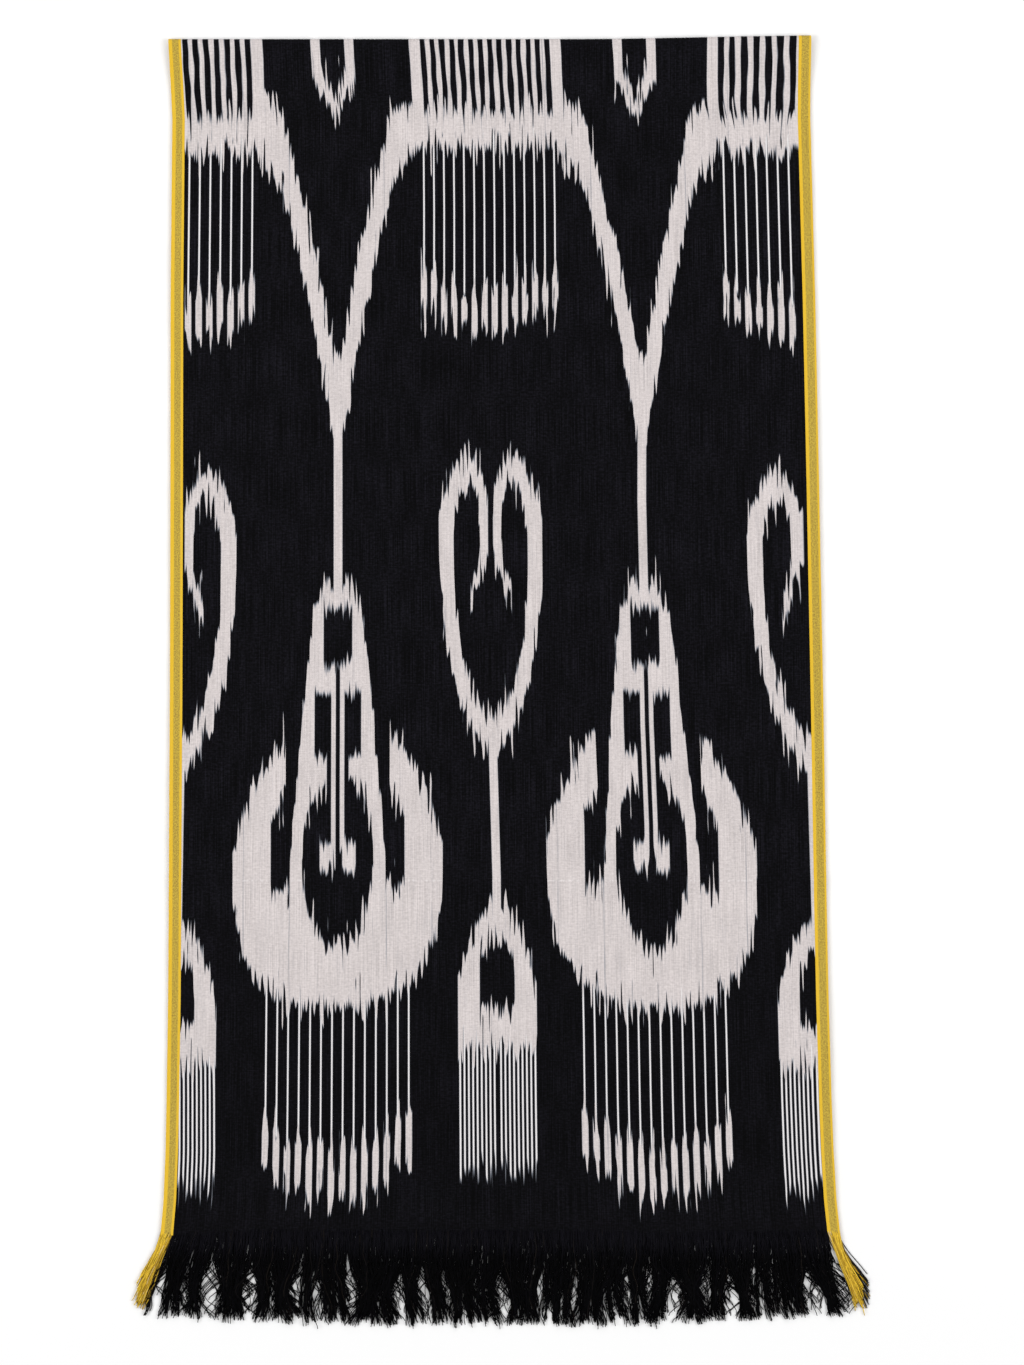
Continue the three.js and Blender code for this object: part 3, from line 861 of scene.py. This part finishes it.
def tail_silk(colours):
    """The yellow threads of the tails, with cream and brown ones on their inner side."""
    material, board = new_material("tail_silk")
    tone = thread_value(board, "thread_tone")
    place = thread_value(board, "thread_place")
    yellow = board.mix(tone, colour(TAIL_DEEP), colour(TAIL_BRIGHT))
    across, _ = place_in_metres(board)
    inwards = abs(across.rise(MM) - place)
    cream = (tone - CREAM["from"] + inwards * CREAM["inwards"]).rise(CREAM["blur"])
    brown = (0 - tone).rise(BROWN_BLUR)
    finish = board.mix(cream, yellow, colour(TAIL_CREAM))
    finish = board.mix(brown, finish, colour(TAIL_BROWN))
    add_silk_shader(board, finish, tone, GLOSS["tail"])
    return material


def pale_floor(colours):
    material, board = new_material("pale_floor")
    mottle = board.noise(*place_in_metres(board), 2.0).share(-0.5, 0.5)
    finish = board.mix(mottle, *shades(colours.floor, FLOOR_SHADES))
    add_shader(board, finish, FLOOR_ROUGHNESS, 0.0)
    return material


def place_in_metres(board):
    return board.across_and_along(board.field("ShaderNodeTexCoord", name="Object"))


def edge_at(side, down, inset):
    """Where a long edge lies, in mm across, `down` mm below the fold."""
    edge = OUTLINE_LEFT if side == "left" else OUTLINE_RIGHT
    inwards = inset if side == "left" else -inset
    return np.interp(down, OUTLINE_DOWN, edge) + inwards + outline_shift


def swell_at(across, down):
    """How far the upper half stands above its settled height, in mm."""
    def hump(distance, reach):
        return np.exp(-((distance / reach) ** 2))

    lift = sum(
        s["lift"] * hump(across - s["across"], s["half_width"]) * hump(down - s["down"], s["half_length"])
        for s in SWELLS
    )
    lift = lift + sum(r["lift"] * hump(down - CREASE_DOWN, r["half_width"]) for r in CREASE_RIDGES)
    for wave in WAVES:
        turn = 2 * math.pi * (across / wave["across"] + down / wave["down"]) + wave["phase"]
        lift = lift + wave["height"] * (1 + np.sin(turn)) / 2
    from_left = across - edge_at("left", down, 0)
    from_right = edge_at("right", down, 0) - across
    beside = np.exp(-np.minimum(from_left, from_right) / PUCKER_REACH)
    for pucker in PUCKERS:
        turn = 2 * math.pi * down / pucker["down"] + pucker["phase"] + across / PUCKER_SLANT
        lift = lift + beside * pucker["height"] * (1 + np.sin(turn)) / 2
    return lift


def settled_share(down, start, length):
    share = np.clip((down - start) / length, 0, 1)
    return share * share * (3 - 2 * share)


def upper_rows(sizes, hem):
    """Rows of the upper half from under the fold to the hem: how far down, along and up they lie, in mm."""
    radius = sizes.bend_radius / MM
    axis = radius + sizes.cloth_thickness / MM / 2
    angles = -math.pi / 2 - np.linspace(0, math.pi, BEND_STEPS + 1)
    down = axis + radius * np.cos(angles)
    high = axis + radius * np.sin(angles)
    along = axis - radius * (3 * math.pi / 2 + angles)
    settle_end = axis + sizes.settle_length / MM
    flat = np.concatenate(
        [
            np.arange(axis + SETTLE_STEP, settle_end, SETTLE_STEP),
            np.arange(settle_end, CREASE_DOWN - CREASE_ZONE, ROW_STEP),
            np.arange(CREASE_DOWN - CREASE_ZONE, CREASE_DOWN + CREASE_ZONE, CREASE_STEP),
            np.arange(CREASE_DOWN + CREASE_ZONE + CREASE_STEP, hem - ROW_STEP / 2, ROW_STEP),
            [hem],
        ]
    )
    settled = settled_share(flat, axis, sizes.settle_length / MM)
    rest = sizes.upper_height / MM
    flat_high = (axis + radius) * (1 - settled) + rest * settled
    shares = np.concatenate([np.zeros(len(down)), settled])
    return {
        "down": np.concatenate([down, flat]),
        "along": np.concatenate([along, flat]),
        "high": np.concatenate([high, flat_high]),
        "swell": shares,
    }


def lower_rows(sizes, hem):
    """Rows of the lower half from its meeting with the bend to the hem."""
    axis = (sizes.bend_radius + sizes.cloth_thickness / 2) / MM
    down = np.append(np.arange(axis, hem - ROW_STEP, LOWER_ROW_STEP), hem)
    start = sizes.cloth_thickness / MM / 2
    rest = sizes.lower_height / MM
    settled = settled_share(down, axis, sizes.settle_length / MM)
    along = down - axis + math.pi * sizes.bend_radius / MM - axis
    return {
        "down": down,
        "along": along,
        "high": start + (rest - start) * settled,
        "swell": np.zeros(len(down)),
    }


def rows_of(half, sizes):
    return upper_rows(sizes, half["hem"]) if half is UPPER else lower_rows(sizes, half["hem"])


def corner_rise(across, down):
    """How much further up a point lies where the fold's corner rises, in mm."""
    start, end = CORNER_RISE["across"]
    fading = np.clip(1 - down / CORNER_RISE["fades_down"], 0, 1)
    return CORNER_RISE["height"] * settled_share(across, start, end - start) * fading


def sheet_mesh(name, rows, left, right, columns, lift=None):
    """A grid of quads between the lines `left` and `right`, one of each for each row, in mm."""
    share = np.linspace(0, 1, columns + 1)
    across = left[:, None] + (right - left)[:, None] * share
    down = np.repeat(rows["down"][:, None], columns + 1, 1)
    high = rows["high"][:, None] + rows["swell"][:, None] * swell_at(across, down)
    if lift is not None:
        high = high + lift(share)
    along = fold_y - (down - corner_rise(across, down)) * MM
    points = np.stack([across * MM, along, high * MM], -1).reshape(-1, 3)
    row, column = np.mgrid[0 : len(rows["down"]) - 1, 0:columns]
    first = (row * (columns + 1) + column).ravel()
    faces = np.stack([first, first + columns + 1, first + columns + 2, first + 1], 1)
    mesh = bpy.data.meshes.new(name)
    mesh.from_pydata(points.tolist(), [], faces.tolist())
    return mesh, np.repeat(share[None, :], len(rows["down"]), 0)


def add_map(mesh, name, across, along):
    """A UV map whose places are given for each point of the grid."""
    layer = mesh.uv_layers.new(name=name)
    place = np.stack([across.ravel(), along.ravel()], 1)
    corners = np.zeros(len(mesh.loops), np.int32)
    mesh.loops.foreach_get("vertex_index", corners)
    layer.data.foreach_set("uv", place[corners].astype(np.float32).ravel())


def add_own_map(mesh, share, along):
    """The piece's own UV map, from 0 to 1 both ways."""
    add_map(mesh, "OFBake", share, 1 - (along - along.min()) / np.ptp(along))


def thicken(mesh, name, thickness, material):
    """An object of the sheet with its two sides and closed edges, as a plain mesh."""
    thin = bpy.data.objects.new(name, mesh)
    bpy.context.scene.collection.objects.link(thin)
    shell = thin.modifiers.new("Thickness", "SOLIDIFY")
    shell.thickness = thickness
    shell.offset = 0
    shell.use_even_offset = True
    shell.use_quality_normals = True
    return as_plain_mesh(thin, material, SHARP_EDGE)


def as_plain_mesh(thing, material, sharp_angle):
    """Takes the modifiers' result as the object's own mesh."""
    depsgraph = bpy.context.evaluated_depsgraph_get()
    made = bpy.data.meshes.new_from_object(
        thing.evaluated_get(depsgraph), preserve_all_data_layers=True, depsgraph=depsgraph
    )
    made.name = thing.name
    thing.modifiers.clear()
    thing.data = made
    made.materials.clear()
    made.materials.append(material)
    made.shade_smooth()
    made.set_sharp_from_angle(angle=math.radians(sharp_angle))
    return thing


def drift(table, down):
    return np.interp(down, table["down"], table["across"])


def dropped(down, sideways):
    """`down` on the chart, which hangs lower towards the cloth's edges."""
    return down - np.interp(down, SKEW["down"], SKEW["drop"]) * sideways / (CLOTH_ACROSS / 2)


def comb_places(across, down):
    """Places on the chart of combs, hearts and arches, whose axes drift and stretch on the cloth."""
    middle = COMB_AXES[1] + drift(COMB_DRIFT, down)
    shift = np.interp(down, LEFT_PULL["down"], LEFT_PULL["shift"])
    stretch = np.interp(down, LEFT_PULL["down"], LEFT_PULL["times"])
    reach = MOTIF_REACH
    rows = RIGHT_PULL["across"]
    pulled = [np.interp(down, [row["down"] for row in rows], at) for at in zip(*(row["at"] for row in rows))]
    knots = [shift, shift + reach * stretch, middle - reach, middle + reach]
    knots = np.stack([*knots, *(CLOTH_ACROSS - at for at in reversed(pulled))], -1)
    chart = [0, reach, COMB_AXES[1] - reach, COMB_AXES[1] + reach]
    chart += [CLOTH_ACROSS - place for place in reversed(RIGHT_PULL["place"])]
    place = np.empty_like(across)
    for row in range(len(across)):
        place[row] = np.interp(across[row], knots[row, 0], chart)
    return place, dropped(down, np.abs(across - CLOTH_ACROSS / 2))


def flask_places(across, down):
    """Places on the chart of arms, bells and crescents."""
    is_left = across < CLOTH_ACROSS / 2
    shift = np.where(is_left, drift(LEFT_FLASK_DRIFT, down), drift(RIGHT_FLASK_DRIFT, down))
    from_middle = np.abs(np.abs(across - CLOTH_ACROSS / 2)) - FLASK_AXES[0]
    near_axis = np.clip(PULL_REACH["from"] - np.abs(from_middle) / PULL_REACH["over"], 0, 1)
    return across - shift * near_axis, dropped(down, from_middle)


def declare(piece, half, node):
    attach(piece, BODY)
    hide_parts(f"{half['node']}_{node}")
    return piece


def build_cloth(half, sizes, material):
    rows = rows_of(half, sizes)
    left = edge_at("left", rows["down"], half["inset"]) + SELVEDGE - TUCK
    right = edge_at("right", rows["down"], half["inset"]) - SELVEDGE + TUCK
    name = f"{half['name']}_cloth"
    columns = CLOTH_COLUMNS[half["name"]]
    mesh, share = sheet_mesh(name, rows, left, right, columns)
    across = share * CLOTH_ACROSS
    along = np.repeat(np.abs(rows["along"])[:, None], columns + 1, 1)
    add_own_map(mesh, share, along)
    add_map(mesh, "cloth_place", across * MM, along * MM)
    for map_name, places in (("comb_place", comb_places), ("flask_place", flask_places)):
        place, down = places(across, along)
        add_map(mesh, map_name, place * MM, down * MM)
    piece = thicken(mesh, name, sizes.cloth_thickness, material)
    return declare(piece, half, "panel")


def selvedge_lift(share):
    """How far the selvedge's cords stand up, in mm; `share` runs from its outer edge."""
    return sum(c["lift"] * np.exp(-((share - c["place"]) / c["half"]) ** 2) for c in SELVEDGE_CORDS)


def build_selvedge(half, side, sizes, material):
    rows = rows_of(half, sizes)
    outer = edge_at(side, rows["down"], half["inset"])
    inner = outer + (SELVEDGE if side == "left" else -SELVEDGE)
    left, right = (outer, inner) if side == "left" else (inner, outer)
    name = f"{half['name']}_selvedge_{side}"

    def lift(share):
        return selvedge_lift(share if side == "left" else 1 - share)

    mesh, share = sheet_mesh(name, rows, left, right, SELVEDGE_COLUMNS, lift)
    from_outer = share if side == "left" else 1 - share
    along = np.repeat(np.abs(rows["along"])[:, None], SELVEDGE_COLUMNS + 1, 1)
    add_own_map(mesh, share, along)
    place = np.interp(from_outer * SELVEDGE, STRIPES_AT[side], SELVEDGE_STRIPES)
    add_map(mesh, "edge_place", place * MM, along * MM)
    piece = thicken(mesh, name, sizes.selvedge_thickness, material)
    return declare(piece, half, f"selvedge_{side}")


class HangingThreads:
    """The fields that place the points of every thread; `t` runs from the hem to a thread's tip.

    Each random draw has a number of its own, the last value that it is given.
    """

    def __init__(self, board, given):
        self.board = board
        self.given = given
        self.thread = board.field("GeometryNodeCurveOfPoint", name="Curve Index")
        step = board.field("GeometryNodeSplineParameter", name="Factor")
        self.t = 1 - (1 - step) ** STEP_CROWDING
        self.turn = self.t * 2 * math.pi
        self.root_share = (self.thread + self.chance(0.1, 0.9, 1)) / given["Threads"]
        is_stray = (self.chance(0, 1, 2) - 1 + given["Strays"]).rise(0.001)
        stray = is_stray * self.chance(-STRAY_REACH, STRAY_REACH, 3)
        wide, narrow = WAVERING
        waver = (self.root_share * wide["times"] + given["Clump Seed"]).sine() * wide["share"]
        waver = waver + (self.root_share * narrow["times"]).sine() * narrow["share"]
        self.clump = (self.root_share * given["Clumps"] + waver + stray).floor()
        self.middle_share = (self.clump + 0.5 + self.clump_chance(-0.25, 0.25, 4)) / given["Clumps"]
        self.sideways = self.middle_share * 2 - 1
        tufts = given["Clumps"] * TUFTS
        self.tuft = (self.root_share * tufts + stray).floor()
        self.tuft_share = (self.tuft + 0.5 + self.tuft_chance(-0.3, 0.3, 22)) / tufts
        wave = (self.turn * self.chance(*WAVE_TURNS, 8) + self.chance(0, ALL_TURNS, 9)).sine()
        self.wave = wave * self.chance(0.2, 1, 10)

    def random(self, low, high, number, of, seed):
        """A repeatable random number for each thread, clump or tuft."""
        inputs = {2: low, 3: high, "ID": of, "Seed": self.given[seed] + number}
        return self.board.field("FunctionNodeRandomValue", {"data_type": "FLOAT"}, inputs, 1)

    def chance(self, low, high, number):
        return self.random(low, high, number, self.thread, "Seed")

    def clump_chance(self, low, high, number):
        return self.random(low, high, number, self.clump, "Clump Seed")

    def tuft_chance(self, low, high, number):
        return self.random(low, high, number, self.tuft, "Clump Seed")

    def at(self, share):
        """The place across that is this share of the hem."""
        return self.given["Left"] + (self.given["Right"] - self.given["Left"]) * share

    def drawn(self):
        """How far a thread has been drawn to the middle of its clump."""
        given = self.given
        gather = given["Gather"] * (1 + self.clump_chance(-1, 1, 5) * given["Gather Range"])
        rising = ((self.t - given["Gather Start"]) / (PINCH - given["Gather Start"])).share(0, 1).eased()
        return rising * gather * (1 - self.t.share(PINCH, 1).eased() * given["Loosening"])

    def lean(self):
        """How far a thread leans out, towards the nearer end of the hem."""
        given = self.given
        out = ((abs(self.sideways) - 1 + given["Lean Reach"]) / given["Lean Reach"]).share(0, 1)
        is_right = self.sideways.rise(0.001)
        lean = given["Lean Left"] + (given["Lean Right"] - given["Lean Left"]) * is_right
        return lean * out * out * self.t**LEAN_POWER

    def waves(self):
        """How far the waves, the clump's sway and the curls of the tip carry a thread sideways."""
        given, t = self.given, self.t
        sway = (self.turn * SWAY_TURNS + self.clump_chance(0, ALL_TURNS, 14)).sine() * given["Sway"]
        curl = (self.turn * self.chance(*CURL_TURNS, 11) + self.chance(0, ALL_TURNS, 12)).sine()
        curl = curl * self.chance(0, 1, 13) ** 2 * given["Curl"]
        scatter = self.chance(-1, 1, 6) * self.chance(0, 1, 7) * given["Tip Scatter"] * t * t
        return scatter + self.wave * given["Wander"] * t.share(0, WAVE_FROM) + (sway + curl) * t

    def across(self):
        root = self.at(self.root_share)
        to_clump = (self.at(self.middle_share) - root) * self.drawn()
        to_tuft = (self.at(self.tuft_share) - root) * self.t.share(TUFT_START, 1).eased() * TUFT_GATHER
        to_middle = (self.at(0.5) - root) * self.t.share(0, NARROW_END).eased() * self.given["Narrowing"]
        return root + to_clump + to_tuft + to_middle + self.lean() + self.waves()

    def down(self):
        given = self.given
        out = (self.sideways * self.sideways).share(0, 1)
        usual = given["Length"] + (given["Side Length"] - given["Length"]) * out
        uneven = self.clump_chance(-0.4, 0.4, 15) + self.tuft_chance(-0.6, 0.6, 23)
        shorter = self.chance(0, 1, 16) ** 2 * SHORTER_BY + self.chance(0, 1, 17) * given["Uneven"]
        reach = usual * (1 + uneven * given["Uneven"]) * (LONGEST - shorter)
        root_above = self.chance(0, 1, 20) * given["Root Spread"]
        return given["Hem"] + root_above - (reach + root_above) * self.t

    def high(self):
        """From the cloth's height, up a little, and down to where the threads rest on each other."""
        given, depth = self.given, self.given["Layer Depth"]
        layer = self.chance(0, 1, 18) + abs(self.wave) * self.t * WAVE_HEIGHT
        rested = given["Rest Height"] + layer * depth
        risen = self.t.share(0, FALL[0]) * given["Root Lift"] * self.chance(0.2, 1, 21)
        lifted = given["Root Height"] + risen
        return lifted + (rested - lifted) * self.t.share(*FALL).eased()


def thread_tree():
    """Geometry Nodes that hang loose threads from a hem and draw them together into clumps, made once."""
    if THREAD_TREE in bpy.data.node_groups:
        return bpy.data.node_groups[THREAD_TREE]
    tree = bpy.data.node_groups.new(THREAD_TREE, "GeometryNodeTree")
    for kind, names in THREAD_INPUTS.items():
        for name in names:
            tree.interface.new_socket(name, in_out="INPUT", socket_type=kind)
    tree.interface.new_socket("Geometry", in_out="OUTPUT", socket_type="NodeSocketGeometry")
    board = Board(tree)
    group = board.node("NodeGroupInput")
    given = {name: board.out(group, name) for names in THREAD_INPUTS.values() for name in names}

    line = board.field("GeometryNodeCurvePrimitiveLine", (), {"End": (0, -1, 0)})
    stepped = board.field("GeometryNodeResampleCurve", (), {"Curve": line, "Count": THREAD_STEPS + 1})
    amount = {"Geometry": stepped, "Amount": given["Threads"]}
    copies = board.field("GeometryNodeDuplicateElements", {"domain": "SPLINE"}, amount)
    threads = HangingThreads(board, given)
    place = {0: threads.across(), 1: threads.down(), 2: threads.high()}
    place = board.field("ShaderNodeCombineXYZ", (), place)
    last = board.field("GeometryNodeSetPosition", (), {"Geometry": copies, "Position": place})
    tone = threads.chance(0, 1, 19) - given["Dark Share"]
    for name, value in (("thread_tone", tone), ("thread_place", threads.root_share)):
        settings = {"data_type": "FLOAT", "domain": "POINT"}
        inputs = {"Geometry": last, "Name": name, "Value": value}
        last = board.field("GeometryNodeStoreNamedAttribute", settings, inputs)
    ring = {"Resolution": 3, "Radius": given["Thread Radius"]}
    ring = board.field("GeometryNodeCurvePrimitiveCircle", (), ring)
    tube = {"Curve": last, "Profile Curve": ring, "Fill Caps": True}
    tube = board.field("GeometryNodeCurveToMesh", (), tube)
    plain = board.field("GeometryNodeRealizeInstances", (), {"Geometry": tube})
    dyed = board.field("GeometryNodeSetMaterial", (), {"Geometry": plain, "Material": given["Silk"]})
    board.node("NodeGroupOutput", (), {"Geometry": dyed})
    return tree


def hang_threads(name, values, material):
    """Runs the thread tree with these input values, and keeps its result as a plain mesh."""
    holder = bpy.data.objects.new(name, bpy.data.meshes.new(name))
    bpy.context.scene.collection.objects.link(holder)
    tree = thread_tree()
    threads = holder.modifiers.new("Threads", "NODES")
    threads.node_group = tree
    identifiers = {item.name: item.identifier for item in tree.interface.items_tree}
    for input_name, value in values.items():
        threads[identifiers[input_name]] = value
    threads[identifiers["Silk"]] = material
    return as_plain_mesh(holder, material, NO_SHARP_EDGE)


def strip_across(half, side=None):
    """The stretch of a hem that a fringe or a tail hangs from, in mm across."""
    left = edge_at("left", half["hem"], half["inset"])
    right = edge_at("right", half["hem"], half["inset"])
    if side == "left":
        return left + TAIL_MARGIN, left + SELVEDGE
    if side == "right":
        return right - SELVEDGE, right - TAIL_MARGIN
    return left + SELVEDGE, right - SELVEDGE


def hem_values(half, side, sizes):
    """What the thread tree needs to know of a stretch of a hem; `side` is None for the fringe."""
    left, right = strip_across(half, side)
    is_upper = half is UPPER
    return {
        "Left": left * MM,
        "Right": right * MM,
        "Hem": fold_y - (half["hem"] - ROOT_ABOVE_HEM) * MM,
        "Root Height": sizes.upper_height + ROOT_ABOVE_CLOTH * MM if is_upper else sizes.lower_height,
        "Thread Radius": sizes.thread_radius,
        **LAYERS[half["name"]],
    }


def build_fringe(half, sizes, material):
    values = {
        **hem_values(half, None, sizes),
        **FRINGE_FORM,
        "Threads": int(sizes.fringe_threads * FRINGE_SHARE[half["name"]]),
        "Length": sizes.fringe_length,
        "Side Length": sizes.fringe_side_length,
        "Seed": half["seed"],
    }
    piece = hang_threads(f"{half['name']}_fringe", values, material)
    return declare(piece, half, "fringe")


def build_tail(half, side, sizes, material):
    lean = TAIL_LEANS[half["name"]][side] * MM
    values = {
        **hem_values(half, side, sizes),
        **TAIL_FORM,
        "Threads": sizes.tail_threads,
        "Length": sizes.tail_length,
        "Side Length": sizes.tail_length,
        "Lean Left": lean,
        "Lean Right": lean,
        "Dark Share": TAIL_DARK_SHARE[half["name"]],
        "Seed": half["seed"] + TAIL_SEEDS[side],
    }
    piece = hang_threads(f"{half['name']}_tail_{side}", values, material)
    return declare(piece, half, f"tail_{side}")


def build_floor(colours):
    half = FLOOR_SIZE / 2
    mesh = bpy.data.meshes.new("floor")
    corners = [(-half, -half), (half, -half), (half, half), (-half, half)]
    mesh.from_pydata([(x, y, FLOOR_HEIGHT) for x, y in corners], [], [(0, 1, 2, 3)])
    floor = bpy.data.objects.new("floor", mesh)
    bpy.context.scene.collection.objects.link(floor)
    mesh.materials.append(pale_floor(colours))


def aim(thing, target):
    direction = thing.location - target
    thing.rotation_euler = direction.to_track_quat("Z", "Y").to_euler()


def build_lights():
    scene = bpy.context.scene
    for light in LIGHTS:
        lamp = bpy.data.lights.new(light["name"], "AREA")
        lamp.shape = "DISK"
        lamp.size = light["size"]
        lamp.energy = light["power"]
        holder = bpy.data.objects.new(light["name"], lamp)
        scene.collection.objects.link(holder)
        holder.location = light["place"]
        aim(holder, holder.location * 0)
    world = bpy.data.worlds.new("studio")
    world.use_nodes = True
    world.node_tree.nodes["Background"].inputs["Color"].default_value = (1, 1, 1, 1)
    world.node_tree.nodes["Background"].inputs["Strength"].default_value = WORLD_LIGHT
    scene.world = world
    scene.view_settings.view_transform = "Standard"
    scene.view_settings.look = "None"


def build_camera():
    scene = bpy.context.scene
    data = bpy.data.cameras.new("camera")
    data.lens = LENS
    data.sensor_width = SENSOR
    camera = bpy.data.objects.new("camera", data)
    scene.collection.objects.link(camera)
    distance = VIEW_HEIGHT * MM * LENS / SENSOR
    camera.location = ((VIEW_ACROSS + outline_shift) * MM, fold_y - VIEW_DOWN * MM, distance)
    scene.camera = camera


class SCARF_OT_stage(bpy.types.Operator):
    """Make the camera, the soft lights and the pale floor"""

    bl_idname = "scarf.stage"
    bl_label = "Stage"

    def execute(self, context):
        build_camera()
        build_lights()
        build_floor(context.scene.scarf_colours)
        return {"FINISHED"}


class SCARF_OT_cloth(bpy.types.Operator):
    """Make the upper and lower halves of the ikat cloth"""

    bl_idname = "scarf.cloth"
    bl_label = "Cloth"

    def execute(self, context):
        material = ikat_silk(context.scene.scarf_colours)
        for half in HALVES:
            build_cloth(half, context.scene.scarf_sizes, material)
        return {"FINISHED"}


class SCARF_OT_selvedges(bpy.types.Operator):
    """Make the yellow selvedges of both halves"""

    bl_idname = "scarf.selvedges"
    bl_label = "Selvedges"

    def execute(self, context):
        material = selvedge_silk(context.scene.scarf_colours)
        for half in HALVES:
            for side in SIDES:
                build_selvedge(half, side, context.scene.scarf_sizes, material)
        return {"FINISHED"}


class SCARF_OT_fringes(bpy.types.Operator):
    """Hang the black fringe threads from both hems"""

    bl_idname = "scarf.fringes"
    bl_label = "Fringes"

    def execute(self, context):
        material = fringe_silk(context.scene.scarf_colours)
        for half in HALVES:
            build_fringe(half, context.scene.scarf_sizes, material)
        return {"FINISHED"}


class SCARF_OT_tails(bpy.types.Operator):
    """Hang the yellow tails from the ends of the selvedges"""

    bl_idname = "scarf.tails"
    bl_label = "Tails"

    def execute(self, context):
        material = tail_silk(context.scene.scarf_colours)
        for half in HALVES:
            for side in SIDES:
                build_tail(half, side, context.scene.scarf_sizes, material)
        return {"FINISHED"}


class SCARF_OT_declare(bpy.types.Operator):
    """Gather each half's flat length and the pieces that go with it; nothing is done with them"""

    bl_idname = "scarf.declare"
    bl_label = "Declare the sheets"

    def execute(self, context):
        sizes = context.scene.scarf_sizes
        for half in HALVES:
            name = half["name"]
            flat_length = np.ptp(rows_of(half, sizes)["along"]) * MM
            pieces = [bpy.data.objects[f"{name}_fringe"]]
            for side in SIDES:
                pieces += [bpy.data.objects[f"{name}_{kind}_{side}"] for kind in ("selvedge", "tail")]
        return {"FINISHED"}


class SCARF_PT_panel(bpy.types.Panel):
    """The scarf's sizes, colours and steps"""

    bl_label = "Silk ikat scarf"
    bl_idname = "SCARF_PT_panel"
    bl_space_type = "VIEW_3D"
    bl_region_type = "UI"
    bl_category = "Scarf"

    def draw(self, context):
        for group in (context.scene.scarf_sizes, context.scene.scarf_colours):
            for name in group.bl_rna.properties.keys():
                if name not in ("rna_type", "name"):
                    self.layout.prop(group, name)
        for step in OPERATORS:
            self.layout.operator(step.bl_idname)


OPERATORS = (
    SCARF_OT_stage,
    SCARF_OT_cloth,
    SCARF_OT_selvedges,
    SCARF_OT_fringes,
    SCARF_OT_tails,
    SCARF_OT_declare,
)
CLASSES = (ScarfSizes, ScarfColours, *OPERATORS, SCARF_PT_panel)


def register():
    for item in CLASSES:
        bpy.utils.register_class(item)
    bpy.types.Scene.scarf_sizes = bpy.props.PointerProperty(type=ScarfSizes)
    bpy.types.Scene.scarf_colours = bpy.props.PointerProperty(type=ScarfColours)


def unregister():
    del bpy.types.Scene.scarf_colours
    del bpy.types.Scene.scarf_sizes
    for item in reversed(CLASSES):
        bpy.utils.unregister_class(item)


def main():
    register()
    for step in ("stage", "cloth", "selvedges", "fringes", "tails", "declare"):
        getattr(bpy.ops.scarf, step)()
    bpy.context.view_layer.update()


if __name__ == "__main__":
    main()
